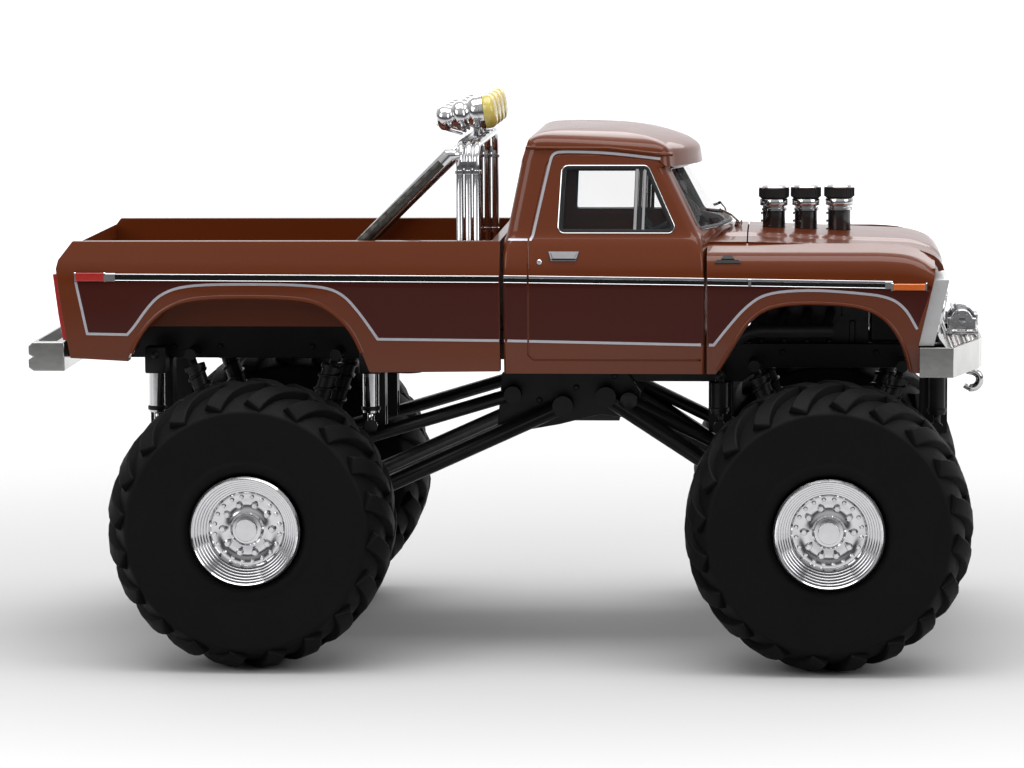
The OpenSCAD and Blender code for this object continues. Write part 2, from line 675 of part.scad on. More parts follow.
// Crossmembers between the rails, two of them with bosses for the base's screws
module crossmembers() {
    y = rail_y - rail_w / 2 - seat_gap;
    boss_z = rail_top_z - 4.8;
    color("black") on_truck() {
        for (x = [bed_back_x + 5.7, rear_axle_x]) span([x - 1.4, -y, rocker_z + 1.6], [x + 1.4, y, rocker_z + 4.8]);
        span([stretch + 51.2, -y, rail_top_z - 3.2], [stretch + 54, y, rail_top_z - 0.4]);
        for (x = base_screw_xs) difference() {
            union() {
                span([x - 1.4, -y, rocker_z + 1], [x + 1.4, y, rail_top_z - 0.4]);
                for (s = [-1, 1]) translate([x, s * (rail_y - 4.2), boss_z]) cylinder(h = 4.4, r = 2.1);
            }
            for (s = [-1, 1]) translate([x, s * (rail_y - 4.2), boss_z - 0.2]) cylinder(h = 3.6, r = screw_r);
        }
        span([stretch + 5, -y, rail_z + 0.3], [stretch + 10, y, rail_z + 1.5]);
    }
}

// Transfer case: one closed housing hung under the middle crossmember
module transfer_case() {
    color("dimgray") on_body() {
        span([-2, 4 - rail_y, rail_z - 6.2], [10, rail_y - 4, rail_z + 0.27]);
        for (s = [-1, 1]) translate([case_x, 0, case_z]) rotate([0, s * 90, 0]) cylinder(h = 7.6, r = 1.7);
    }
}

// Bracket plates outboard of the rails that carry the traction bars' inner ends
module bar_brackets() {
    y = rail_y + rail_w / 2;
    color("black") on_body() both_sides() side_plate([
        [-6.2, rail_z + 1.3], [-7, rail_z - 7.6], [1.9, rail_z - 6], [7.5, rail_z - 4.6],
        [12.6, rail_z - 5.2], [13.2, rail_z - 1.4], [11, rail_z + 2], [5, rail_z + 2], [4, rail_z + 1.3]
    ], y + seat_gap, y + 0.8);
}

// Ends of the traction bars [x, z]: inner and outer, the lower bar's first
rear_bars = [[[2.4, rail_z - 3.2], [-3.2, -3.2]], [[-4.6, rail_z - 1.6], [-3.2, 6.5]]];
front_bars = [[[8.4, rail_z - 1.9], [-3.2, -2.5]], [[11.6, rail_z - 2.4], [-3.2, 3.2]]];

// One side's lower and upper bar, from the bracket's plate to the axle at ax
module bar_pair(bars, ax, s) {
    for (i = [0, 1]) {
        a = [stretch + bars[i][0][0], bar_y, bars[i][0][1]];
        b = [ax - s * bars[i][1][0], bar_y, tyre_r + bars[i][1][1]];
        r = i == 0 ? 1.2 : 0.95;
        rod(a, b, r, 12);
        for (p = [a, b]) cross_rod(p[0], p[2], r + 0.25, bar_y - 1.3, bar_y + 1.25);
    }
}

module traction_bars() {
    color("black") on_truck() both_sides() {
        bar_pair(rear_bars, rear_axle_x, 1);
        bar_pair(front_bars, front_axle_x, -1);
    }
}

// Leaf pack's centre line: an arc that dips between its eyes
spring_rise = 6.6;
spring_r = (leaf_span * leaf_span / 4 + spring_rise * spring_rise) / (2 * spring_rise);
pad_z = tyre_r + axle_r + 0.1;
spring_top = pad_z + 2.6;
eye_z = spring_top + spring_rise;

// One leaf, its half length h and its depth d below the main leaf
module leaf(h, d, t) {
    a = asin(h / spring_r);
    side_plate(concat(
        arc(0, spring_r + spring_top, spring_r + d, 270 - a, 270 + a, 12),
        arc(0, spring_r + spring_top, spring_r + d + t, 270 + a, 270 - a, 12)
    ), rail_y - 1, rail_y + 1);
}

// Leaf springs, one pack at each corner, with its clamp plates on the axle
module leaf_springs() {
    color("black") on_truck() both_sides() for (x = axle_xs) translate([x, 0, 0]) {
        leaf(leaf_span / 2 - 0.4, 0, 0.62);
        for (i = [1:3]) leaf(leaf_span / 2 - 1 - i * 3, i * 0.58, 0.6);
        for (s = [-1, 1]) cross_rod(s * leaf_span / 2, eye_z, 0.95, rail_y - 1, rail_y + 1);
        span([-2.2, rail_y - 1.15, pad_z + seat_gap], [2.2, rail_y + 1.15, spring_top + 0.5]);
    }
}

// Forked posts that carry the springs' eyes below the rails, and the pins that pass on outboard
module spring_hangers() {
    color("black") on_truck() both_sides() for (x = axle_xs, s = [-1, 1]) {
        hx = x + s * leaf_span / 2;
        top = x < 0 ? rocker_z + 0.7 : s < 0 ? rail_z : rail_top_z - 3.4;
        low = eye_z + 2.2;
        span([hx - 1.6, rail_y - 1.75, low], [hx + 1.6, rail_y + 1.75, top - seat_gap]);
        for (k = [-1, 1]) span([hx - 1.6, rail_y + k * 1.4 - 0.35, eye_z - 1.2], [hx + 1.6, rail_y + k * 1.4 + 0.35, low + 0.1]);
        cross_rod(hx, eye_z, 0.45, rail_y + 1.4, shock_y - 0.6);
    }
}

module driveshafts() {
    color("silver") on_truck() for (s = [-1, 1]) {
        a = [stretch + case_x + s * 7.7, 0, case_z];
        b = [s < 0 ? rear_axle_x + diff_r + 2.3 : front_axle_x - diff_r - 2.3, 0, tyre_r];
        u = (b - a) / norm(b - a);
        rod(a + u * 0.9, b - u * 0.9, shaft_r);
        rod(a + u * 0.9, a + u * 3.1, 1.5);
        rod(b - u * 3.1, b - u * 0.9, 1.5);
    }
}

// Axle housing: tube, differential, pads for the springs and ears for bars and coil dampers
module axle(x, s, bars) {
    low = bars[0][1][1];
    high = bars[1][1][1];
    translate([x, 0, tyre_r]) difference() {
        union() {
            rotate([90, 0, 0]) cylinder(h = 2 * housing_y, r = axle_r, center = true);
            sphere(r = diff_r);
            rotate([0, s * 90, 0]) cylinder(h = diff_r + 2, r = 1.9);
            both_sides() {
                translate([-2.2, rail_y - 1.6, 0]) cube([4.4, 3.2, pad_z - tyre_r]);
                translate([0, housing_y - 1.4, 0]) rotate([-90, 0, 0]) cylinder(h = 1.4, r = 3.6);
                side_plate([
                    [-s * 1, -1], [s * 2, low - 1.5], [s * 4.6, low - 1.5], [s * 4.6, high + 1.3], [s * 2, high + 1.3], [-s * 1, 1]
                ], bar_y - 1.95, bar_y - 1.33);
                for (k = [-1, 1]) side_plate([[k * 1, 0], [k * 5.2, 4.2], [k * 4.4, 5.6], [k * 0.2, 1.5]], coil_y + 1.35, coil_y + 2);
            }
        }
        rotate([90, 0, 0]) cylinder(h = 100, r = pin_r + 0.02, center = true);
    }
}

module front_axle() { color("black") on_truck() axle(front_axle_x, -1, front_bars); }
module rear_axle() { color("black") on_truck() axle(rear_axle_x, 1, rear_bars); }

// Steel pins right across each axle, with a head outside each wheel
module axle_pins() {
    color("silver") on_truck() for (x = axle_xs) translate([x, 0, tyre_r]) rotate([90, 0, 0]) {
        cylinder(h = 2 * (wheel_y - 1.9), r = pin_r, center = true);
        for (s = [-1, 1]) translate([0, 0, s * (wheel_y - 1.9)]) cylinder(h = 0.6, r = pin_r + 0.5, center = true);
    }
}

// Tie rod behind the front axle
module tie_rod() {
    color("silver") on_truck() {
        rod([front_axle_x + 5.4, -14.6, tyre_r], [front_axle_x + 5.4, 14.6, tyre_r], 0.6);
        both_sides() span([front_axle_x + axle_r + 0.02, 13.6, tyre_r - 0.6], [front_axle_x + 5.8, 14.8, tyre_r + 0.6]);
    }
}

// Upright dampers outboard of each spring's ends, from the frame down to the spring's pin
module shock_absorbers() {
    color("silver") on_truck() both_sides() for (x = axle_xs, s = [-1, 1]) {
        hx = x + s * leaf_span / 2;
        top = x < 0 ? rocker_z + 1.8 : s < 0 ? rail_z + 1.4 : rail_top_z - 2.2;
        translate([hx, shock_y, eye_z + 2]) cylinder(h = top - 1 - eye_z - 2, r = 1.15);
        translate([hx, shock_y, eye_z]) cylinder(h = 2.2, r = 0.5);
        cross_rod(hx, eye_z, 0.95, shock_y - 0.55, shock_y + 0.55);
        translate([hx, shock_y, top - 1.2]) cylinder(h = 1.2, r = 0.6);
        cross_rod(hx, top, 0.75, rail_y + rail_w / 2 + seat_gap, shock_y + 0.6);
    }
}

// Coil dampers that lean from the frame down to the axle, two to a wheel
module coil_dampers() {
    color("black") on_truck() both_sides() for (x = axle_xs, s = [-1, 1]) {
        top = x > 0 ? rail_top_z - 2.6 : rocker_z + 1.8;
        a = [x + s * 4.4, coil_y, tyre_r + 4.6];
        b = [x + s * 10.2, coil_y, top];
        u = (b - a) / norm(b - a);
        rod(a, b, 0.55);
        rod(a + u * 1.6, a + u * 2.2, 1.5);
        rod(b - u * 2.2, b - u * 1.6, 1.5);
        rod(a + u * 2, b - u * 2, 1.2);
        cross_rod(b[0], b[2], 0.8, rail_y + rail_w / 2 + seat_gap, coil_y + 0.6);
        cross_rod(a[0], a[2], 0.8, coil_y - 0.9, coil_y + 1.32);
    }
}

// ---------- wheels ----------

// Draws a wheel's own shape at the axle xs, on the side s
module at_wheel(x, s) {
    translate([mid_x + x, 0, tyre_r]) rotate([-s * 90, 0, 0]) children();
}

// Hollow tyre, turned about the wheel's pin
module tyre(x, s) {
    r = tyre_r;
    color("black") at_wheel(x, s) rotate_extrude($fn = 96) polygon([
        [seat_r + 0.03, tyre_y + 2.2], [seat_r + 0.6, tyre_y + 0.7], [r - 3.6, tyre_y + 0.2], [r - 1.4, tyre_y + 1.2],
        [r - 0.3, tyre_y + 3], [r, tyre_y + 4.6], [r, wheel_y - 4.6], [r - 0.3, wheel_y - 3], [r - 1.4, wheel_y - 1.2],
        [r - 3.6, wheel_y - 0.2], [seat_r + 0.6, wheel_y - 0.7], [seat_r + 0.03, wheel_y - 2.2],
        [seat_r + 0.03, wheel_y - 4], [seat_r + 1.5, wheel_y - rubber_t - 0.6], [r - rubber_t - 1, wheel_y - rubber_t - 0.6],
        [r - rubber_t, wheel_y - rubber_t - 2.2], [r - rubber_t, tyre_y + rubber_t + 2.2],
        [r - rubber_t - 1, tyre_y + rubber_t + 0.6], [seat_r + 1.5, tyre_y + rubber_t + 0.6], [seat_r + 0.03, tyre_y + 4]
    ]);
}

// Chromed rim with its turned steps, dished disc and long hub
module rim(x, s) {
    b = pin_r + pin_gap;
    color("silver") at_wheel(x, s) rotate_extrude($fn = 96) polygon([
        [b, housing_y + 0.35], [2.2, housing_y + 0.35], [2.2, wheel_y - 5], [5.6, wheel_y - 5.4], [seat_r - 1, wheel_y - 6],
        [seat_r - 1, tyre_y + 2], [seat_r, tyre_y + 2], [seat_r, wheel_y - 1.2], [seat_r - 0.1, wheel_y - 0.2], [seat_r - 0.4, wheel_y],
        [seat_r - 0.7, wheel_y - 0.4], [seat_r - 1.2, wheel_y - 0.5], [seat_r - 1.2, wheel_y - 1], [seat_r - 1.7, wheel_y - 1.1],
        [seat_r - 1.7, wheel_y - 1.6], [seat_r - 2.2, wheel_y - 1.7], [seat_r - 2.2, wheel_y - 2.3], [5.1, wheel_y - 2.9],
        [4.4, wheel_y - 3], [2.6, wheel_y - 3.4], [2.3, wheel_y - 2.4], [b, wheel_y - 2.4]
    ]);
}

module front_left_tyre() { tyre(front_axle_x, 1); }
module front_left_rim() { rim(front_axle_x, 1); }
module front_right_tyre() { tyre(front_axle_x, -1); }
module front_right_rim() { rim(front_axle_x, -1); }
module rear_left_tyre() { tyre(rear_axle_x, 1); }
module rear_left_rim() { rim(rear_axle_x, 1); }
module rear_right_tyre() { tyre(rear_axle_x, -1); }
module rear_right_rim() { rim(rear_axle_x, -1); }

cab_shell();
front_fenders();
hood();
cargo_bed();
tailgate();
windshield();
side_windows();
rear_window();
grille();
headlights();
front_marker_lamps();
tail_lamps();
cab_floor();
bench_seat();
dashboard();
steering_wheel();
front_bumper();
winch();
tow_hook();
rear_bumper();
roll_bar();
lamp_pods();
lamp_covers();
engine_block();
exhaust_headers();
intake_stacks();
air_filters();
frame_rails();
crossmembers();
transfer_case();
bar_brackets();
leaf_springs();
spring_hangers();
shock_absorbers();
coil_dampers();
traction_bars();
driveshafts();
front_axle();
rear_axle();
axle_pins();
tie_rod();
front_left_tyre();
front_left_rim();
front_right_tyre();
front_right_rim();
rear_left_tyre();
rear_left_rim();
rear_right_tyre();
rear_right_rim();
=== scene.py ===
import json
import math
import bpy
import bmesh
from mathutils import Matrix, Vector
from mathutils.bvhtree import BVHTree


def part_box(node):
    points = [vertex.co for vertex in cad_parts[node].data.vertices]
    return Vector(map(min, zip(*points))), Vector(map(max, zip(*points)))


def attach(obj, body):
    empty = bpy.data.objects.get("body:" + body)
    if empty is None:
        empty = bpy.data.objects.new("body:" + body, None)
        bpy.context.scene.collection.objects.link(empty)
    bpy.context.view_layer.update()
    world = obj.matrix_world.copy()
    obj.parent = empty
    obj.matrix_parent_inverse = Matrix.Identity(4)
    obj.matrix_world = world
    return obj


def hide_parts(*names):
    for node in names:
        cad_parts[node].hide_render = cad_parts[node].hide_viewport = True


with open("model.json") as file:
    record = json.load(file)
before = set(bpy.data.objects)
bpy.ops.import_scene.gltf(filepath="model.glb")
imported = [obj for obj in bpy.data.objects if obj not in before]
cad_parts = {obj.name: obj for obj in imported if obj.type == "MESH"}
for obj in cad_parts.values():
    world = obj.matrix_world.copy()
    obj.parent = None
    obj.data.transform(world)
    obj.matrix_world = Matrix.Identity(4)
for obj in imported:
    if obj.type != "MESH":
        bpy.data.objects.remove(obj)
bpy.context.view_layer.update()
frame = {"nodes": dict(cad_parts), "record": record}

# Where things are. The truck is a 1:43 die-cast model that stands on the floor with its nose
# towards +X. Places are given in millimetres: along from the middle of the wheelbase, across
# from the centre line, and up from the floor.
MM = 0.001
front_tyre, rear_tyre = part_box("front_right_tyre"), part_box("rear_right_tyre")
mid_x = (front_tyre[0].x + front_tyre[1].x + rear_tyre[0].x + rear_tyre[1].x) / 4
axle_x = (front_tyre[0].x + front_tyre[1].x) / 2 / MM - mid_x / MM
tyre_r = front_tyre[1].z / 2 / MM
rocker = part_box("cab_shell")[0].z / MM
half_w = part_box("front_fenders")[1].y / MM
cab_back = (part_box("cab_shell")[0].x - mid_x) / MM
bed_front = (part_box("cargo_bed")[1].x - mid_x) / MM
floor_top = next(m for m in frame["record"]["mounts"] if m["name"] == "bed_floor")["pos_m"][2] / MM


def at(x, y, z):
    """A place on the truck, as metres in the shared frame"""
    return Vector((mid_x + x * MM, y * MM, z * MM))


def station(point):
    """How far ahead of the middle of the wheelbase a point is, in mm"""
    return (point.x - mid_x) / MM


to_left, upward = Vector((0, 1, 0)), Vector((0, 0, 1))


# The stand: a pale seamless paper under soft white studio boxes, and a long lens that looks at
# the truck's right side from a little above and a little ahead of square.
scene = bpy.context.scene
scene.view_settings.view_transform = "Standard"

camera = bpy.data.objects.new("camera", bpy.data.cameras.new("camera"))
scene.collection.objects.link(camera)
scene.camera = camera
camera.data.sensor_width = 36
camera.data.lens = 147.95
camera.data.clip_start, camera.data.clip_end = 0.02, 60
yaw, pitch, roll = 0.0658, 0.1139, -0.0042
ahead = Vector((-math.sin(yaw) * math.cos(pitch), math.cos(yaw) * math.cos(pitch), -math.sin(pitch)))
right = Vector((math.cos(yaw), math.sin(yaw), 0))
up = right.cross(ahead)
right, up = right * math.cos(roll) + up * math.sin(roll), up * math.cos(roll) - right * math.sin(roll)
eye = at(33.69, -595.72, 103.67)
camera.matrix_world = Matrix.Translation(eye) @ Matrix((right, up, -ahead)).transposed().to_4x4()


class Value:
    """A shader socket to reckon with: plus and times add Math nodes"""

    def __init__(self, mix, socket):
        self.mix, self.socket = mix, socket

    def __add__(self, other):
        return self.mix.node("Math", {"operation": "ADD"}, {0: self, 1: other})

    def __mul__(self, other):
        return self.mix.node("Math", {"operation": "MULTIPLY"}, {0: self, 1: other})


class Finish:
    """A material being made up, with its shader's own settings given by name"""

    def __init__(self, name, **settings):
        self.made = bpy.data.materials.new(name)
        self.made.use_nodes = True
        self.shader = self.made.node_tree.nodes["Principled BSDF"]
        for key, value in settings.items():
            self.shader.inputs[key.replace("_", " ")].default_value = value

    def node(self, kind, settings, inputs, output=0):
        n = self.made.node_tree.nodes.new("ShaderNode" + kind)
        for key, value in settings.items():
            setattr(n, key, value)
        for key, value in inputs.items():
            if isinstance(value, Value):
                self.made.node_tree.links.new(value.socket, n.inputs[key])
            else:
                n.inputs[key].default_value = value
        return Value(self, n.outputs[output])

    def place(self):
        return self.node("TexCoord", {}, {}, "Object")

    def noise(self, size, detail):
        """Cloudy noise from 0 to 1, its lumps about size mm across"""
        return self.node("TexNoise", {}, {"Vector": self.place(), "Scale": 1 / (size * MM), "Detail": detail})

    def between(self, factor, a, b):
        a, b = ((*c, 1) if isinstance(c, tuple) else c for c in (a, b))
        return self.node("Mix", {"data_type": "RGBA"}, {0: factor, 6: a, 7: b}, 2)

    def feed(self, **inputs):
        for key, value in inputs.items():
            self.made.node_tree.links.new(value.socket, self.shader.inputs[key.replace("_", " ")])
        return self

    def bump(self, height, depth):
        """Raises the surface by height times depth mm"""
        return self.feed(Normal=self.node("Bump", {}, {"Height": height, "Distance": depth * MM}))


bm = bmesh.new()
bmesh.ops.create_grid(bm, x_segments=2, y_segments=2, size=12)
floor = bpy.data.objects.new("floor", bpy.data.meshes.new("floor"))
bm.to_mesh(floor.data)
bm.free()
scene.collection.objects.link(floor)
floor.location.z = -0.00002
# The paper glows behind the truck, as a lit backdrop does, and can't be seen from below
paper = Finish("floor_paper", Roughness=0.9, Specular_IOR_Level=0.1, Emission_Color=(1, 1, 1, 1))
reach = paper.node("VectorMath", {"operation": "LENGTH"}, {0: paper.place()}, "Value")
behind = paper.node("SeparateXYZ", {}, {0: paper.place()}, "Y")
glow = paper.node("MapRange", {}, {"Value": reach, "From Min": 0.09, "From Max": 0.6, "To Max": 0.85})
glow = glow * paper.node("MapRange", {}, {"Value": behind, "From Min": -0.05, "From Max": 0.15})
# A painted pool of light: the paper in front of the truck glows a little.
painted_light_in_front = paper.node("MapRange", {}, {"Value": behind, "From Min": -0.035, "From Max": -0.10, "To Max": 0.20})
painted_light_in_front = painted_light_in_front * paper.node("MapRange", {}, {"Value": behind, "From Min": -0.34, "From Max": -0.18})
# Painted shade: the paper's colour darkens towards the camera.
front = paper.node("MapRange", {}, {"Value": behind, "From Min": -0.40, "From Max": -0.14})
paper.feed(Emission_Strength=glow + painted_light_in_front,
           Base_Color=paper.between(front, (0.16, 0.16, 0.162), (0.50, 0.50, 0.506)))
tree = paper.made.node_tree
one_way = tree.nodes.new("ShaderNodeMixShader")
tree.links.new(paper.node("NewGeometry", {}, {}, "Backfacing").socket, one_way.inputs[0])
tree.links.new(paper.shader.outputs[0], one_way.inputs[1])
tree.links.new(paper.node("BsdfTransparent", {}, {}).socket, one_way.inputs[2])
tree.links.new(one_way.outputs[0], tree.nodes["Material Output"].inputs["Surface"])
floor.data.materials.append(paper.made)

# The room: white overhead, and grey down at eye level so that gloss and chrome have an edge
# to show.
world = bpy.data.worlds.new("studio")
scene.world = world
world.use_nodes = True
nodes, links = world.node_tree.nodes, world.node_tree.links
heading, split, room = (nodes.new("ShaderNode" + k) for k in ("TexCoord", "SeparateXYZ", "ValToRGB"))
links.new(heading.outputs["Generated"], split.inputs[0])
links.new(split.outputs["Z"], room.inputs[0])
wall, backdrop = nodes.new("ShaderNodeMapRange"), nodes.new("ShaderNodeMix")
wall.inputs["From Min"].default_value, wall.inputs["From Max"].default_value = 0.25, 0.75
backdrop.data_type = "RGBA"
links.new(split.outputs["Y"], wall.inputs["Value"])
links.new(wall.outputs[0], backdrop.inputs[0])
links.new(room.outputs[0], backdrop.inputs[6])
backdrop.inputs[7].default_value = (1.5, 1.5, 1.52, 1)
links.new(backdrop.outputs[2], nodes["Background"].inputs["Color"])
stops = room.color_ramp.elements
stops[0].position, stops[0].color = 0.0, (0.10, 0.10, 0.105, 1)
stops[1].position, stops[1].color = 0.8, (1.0, 1.0, 1.0, 1)
for place, tone in ((0.06, 0.14), (0.16, 0.42), (0.35, 0.85)):
    stops.new(place).color = (tone, tone, tone * 1.01, 1)
nodes["Background"].inputs["Strength"].default_value = 0.62

for name, place, aim, wide, deep, watts in (
    ("box_over", (10, -60, 700), (0, 0, 30), 900, 500, 5.0),
    ("box_left", (-420, -420, 330), (-10, 0, 40), 380, 300, 1.0),
    ("box_right", (520, -260, 300), (10, 0, 40), 320, 300, 0.9),
    ("box_back", (0, 620, 420), (0, 0, 30), 900, 300, 1.6),
):
    lamp = bpy.data.lights.new(name, "AREA")
    lamp.shape, lamp.size, lamp.size_y, lamp.energy = "RECTANGLE", wide * MM, deep * MM, watts
    box = bpy.data.objects.new(name, lamp)
    scene.collection.objects.link(box)
    box.location = at(*place)
    box.rotation_euler = (at(*aim) - at(*place)).to_track_quat("-Z", "Y").to_euler()

# The cab: one zinc casting, roof to rockers, sprayed a copper brown under a clear coat. It is
# drawn as a stack of outlines, hollowed a millimetre inside, and its windows, its open
# underside and the doors' shut lines are cut out of it.
def face_out(bm):
    """Turns every closed shape's faces outward"""
    bmesh.ops.delete(bm, geom=[e for e in bm.edges if e.is_wire], context="EDGES")
    bm.normal_update()
    bmesh.ops.recalc_face_normals(bm, faces=bm.faces)
    return bm


def clean(bm):
    """Joins up a shape's loose corners"""
    bmesh.ops.remove_doubles(bm, verts=bm.verts, dist=0.002 * MM)
    bmesh.ops.dissolve_degenerate(bm, edges=bm.edges, dist=0.001 * MM)
    return face_out(bm)


def settle(bm, name, finish, slot, body="chassis", stands_for=(), edge=0.0, sharp=34, weighted=False):
    """Makes a finished piece of a bmesh: smooth where it curves, its corners crisp or broken by edge mm"""
    mesh = bpy.data.meshes.new(name)
    clean(bm).to_mesh(mesh)
    bm.free()
    mesh.materials.append(finish.made)
    mesh.polygons.foreach_set("use_smooth", [True] * len(mesh.polygons))
    piece = bpy.data.objects.new(name, mesh)
    scene.collection.objects.link(piece)
    if edge:
        rounding = piece.modifiers.new("broken_edges", "BEVEL")
        rounding.width, rounding.segments, rounding.limit_method = edge * MM, 2, "ANGLE"
        rounding.angle_limit = math.radians(sharp)
    else:
        mesh.set_sharp_from_angle(angle=math.radians(sharp))
    if edge or weighted:
        piece.modifiers.new("flat_faces", "WEIGHTED_NORMAL").keep_sharp = True
    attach(piece, body)
    if stands_for:
        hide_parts(*stands_for)
    return piece


def cast(node):
    """The CAD node's shape as a clean bmesh: joined up, its flat faces whole"""
    bm = bmesh.new()
    bm.from_mesh(frame["nodes"][node].data)
    bmesh.ops.remove_doubles(bm, verts=bm.verts, dist=0.003 * MM)
    bmesh.ops.dissolve_degenerate(bm, edges=bm.edges, dist=0.003 * MM)
    bmesh.ops.dissolve_limit(bm, angle_limit=math.radians(0.8), verts=bm.verts, edges=bm.edges)
    return bm


def dress(node, name, finish, slot, **looks):
    """Settles a CAD node's own shape as the piece that shows in its place"""
    settle(cast(node), name, finish, slot, stands_for=[node], **looks)


def lengthen(bm, face):
    """Draws a face out by one step and gives back the new end face"""
    grown = bmesh.ops.extrude_face_region(bm, geom=[face, *face.edges])["geom"]
    return next(g for g in grown if isinstance(g, bmesh.types.BMFace))


def sweep(bm, path, section, out, closed=False):
    """Draws a section along a path of points. The section's points are (across, out) in mm, and out is the
    way that `out` points: one way for the whole path, or one for each point"""
    last = len(path) - 1
    outs = out if isinstance(out, list) else [out] * len(path)
    section_at = section if callable(section) else lambda i: section
    # The first ring starts as a zigzag, since a face needs corners that lie apart
    ring = [bm.verts.new(path[0] + Vector((i, 0, i % 2)) * 1e-5) for i in range(len(section_at(0)))]
    first = face = bm.faces.new(ring)
    for i, point in enumerate(path):
        if i:
            face = lengthen(bm, face)
        before = path[i] - path[i - 1] if i or closed else path[1] - path[0]
        after = path[(i + 1) % len(path)] - path[i] if i < last or closed else path[i] - path[i - 1]
        before, after = before.normalized(), after.normalized()
        along = (before + after).normalized()
        n = (outs[i] - along * outs[i].dot(along)).normalized()
        across = along.cross(n) / max(0.45, before.dot(along))
        for loop, (p, q) in zip(face.loops, section_at(i)):
            loop.vert.co = point + across * (p * MM) + n * (q * MM)
    if closed:
        caps = [f for f in (first, face) if f.is_valid]
        edges = {e for f in caps for e in f.edges}
        bmesh.ops.delete(bm, geom=caps, context="FACES_ONLY")
        bmesh.ops.bridge_loops(bm, edges=list(edges))


def oblong(wide, high, sunk=0.0, bevel=0.0):
    """A section wide mm across and high mm proud, sunk mm below the surface, its top corners cut by bevel"""
    w, b = wide / 2, bevel
    top = [(w, high - b), (w - b, high), (b - w, high), (-w, high - b)] if b else [(w, high), (-w, high)]
    return [(-w, -sunk), (w, -sunk), *top]


def round_bar(r, sides=16):
    angles = [2 * math.pi * i / sides for i in range(sides)]
    return [(r * math.cos(a), r * math.sin(a)) for a in angles]


def spun(bm, profile, centre, axis, sides=48):
    """Turns a profile of (radius, along) points in mm about an axis. Ends on the axis close up"""
    axis = Vector(axis).normalized()
    side = axis.orthogonal().normalized()
    verts = [bm.verts.new(centre + side * (r * MM) + axis * (h * MM)) for r, h in profile]
    edges = [bm.edges.new(pair) for pair in zip(verts, verts[1:])]
    if profile[0][0] > 1e-6 or profile[-1][0] > 1e-6:
        edges.append(bm.edges.new((verts[-1], verts[0])))
    bmesh.ops.spin(bm, geom=verts + edges, cent=centre, axis=axis, angle=2 * math.pi, steps=sides,
                   use_merge=True)
    return bm


def both(bm):
    """Adds the same on the truck's other side"""
    copy = bmesh.ops.duplicate(clean(bm), geom=bm.verts[:] + bm.edges[:] + bm.faces[:])["geom"]
    bmesh.ops.scale(bm, vec=(1, -1, 1), verts=[g for g in copy if isinstance(g, bmesh.types.BMVert)])
    return face_out(bm)


def paint(name, colour, dark, gloss):
    """Sprayed colour under clear coat: faint mottle, a trace of orange peel and fine dust in the gloss"""
    f = Finish(name, Coat_Weight=gloss, Coat_Roughness=0.035, Specular_IOR_Level=0.08)
    f.feed(Base_Color=f.between(f.noise(11, 3) * 0.6 + f.noise(0.5, 2) * 0.4, dark, colour))
    f.feed(Roughness=f.noise(3, 2) * 0.1 + 0.26)
    return f.bump(f.noise(1.6, 1), 0.003)


copper_brown = paint("copper_brown_paint", (0.118, 0.0240, 0.0052), (0.104, 0.0205, 0.0042), 0.5)


def along(table, h):
    """A row of numbers read off a table of rows at h, straight between rows"""
    if h <= table[0][0]:
        return table[0][1:]
    for low, high in zip(table, table[1:]):
        if h <= high[0]:
            t = (h - low[0]) / (high[0] - low[0])
            return [a + (b - a) * t for a, b in zip(low[1:], high[1:])]
    return table[-1][1:]


def steps(lo, hi, size):
    n = max(1, round((hi - lo) / size))
    return [lo + (hi - lo) * i / n for i in range(n + 1)]


def corner(cx, cy, r, a0, a1, n=6):
    """A round corner from angle a0 to a1, in degrees"""
    angles = [math.radians(a0 + (a1 - a0) * i / n) for i in range(n + 1)]
    return [(cx + r * math.cos(a), cy + r * math.sin(a)) for a in angles]


def clamp(v):
    return max(0, min(1, v))


def stack(bm, loops):
    """A closed solid through loops of points that all have the same count"""
    face = bm.faces.new([bm.verts.new(p) for p in loops[0]])
    for loop in loops[1:]:
        face = lengthen(bm, face)
        for corner_loop, p in zip(face.loops, loop):
            corner_loop.vert.co = p
    face_out(bm)
    return bm


def slab(bm, outline, lo, hi):
    """A flat outline of (x, z) made solid from lo to hi across the truck"""
    return stack(bm, [[at(x, y, z) for x, z in outline] for y in (lo, hi)])


def block(bm, lo, hi, bevel=0.0):
    """A box between two corners in mm, its edges broken"""
    made = bmesh.ops.create_cube(bm, size=1)["verts"]
    bmesh.ops.scale(bm, verts=made, vec=[(b - a) * MM for a, b in zip(lo, hi)])
    bmesh.ops.translate(bm, verts=made, vec=at(*[(a + b) / 2 for a, b in zip(lo, hi)]))
    if bevel:
        edges = list({e for v in made for e in v.link_edges})
        bmesh.ops.bevel(bm, geom=edges, offset=bevel * MM, segments=2, profile=0.5, affect="EDGES",
                        material=-1)
    return bm


# height, how far the back leans in, the front's station at its sides, its bulge, and the nose's drop
cab_levels = [(-1, 0, 27.6, 0, 0), (0, 0, 27.6, 0, 0), (12, 0, 27.6, 0.2, 0), (18.2, 0, 27.2, 3, 0),
              (18.9, 0.3, 26.8, 4.6, 0), (24.5, 1.4, 24.1, 3.6, 0.4), (28.6, 2.2, 22.2, 3, 0.9),
              (28.85, 2.2, 22.9, 3.9, 0.9), (31.2, 2.9, 22.7, 3.8, 1.4), (31.8, 3.1, 22.5, 3.7, 1.5),
              (32.4, 3.7, 21.8, 3.3, 1.5), (32.9, 5.0, 20.0, 2.6, 1.3), (33.25, 8, 16, 1.2, 0.9)]
# height, and how far the side lies inside the body's widest line
side_levels = [(0, 0.9), (4, 0.4), (12, 0), (15, 0.3), (18.2, 1.5), (18.9, 2.1), (30.4, 5), (31.2, 5.1),
               (31.8, 5.4), (32.4, 6.3), (32.9, 8.3), (33.25, 12.5)]


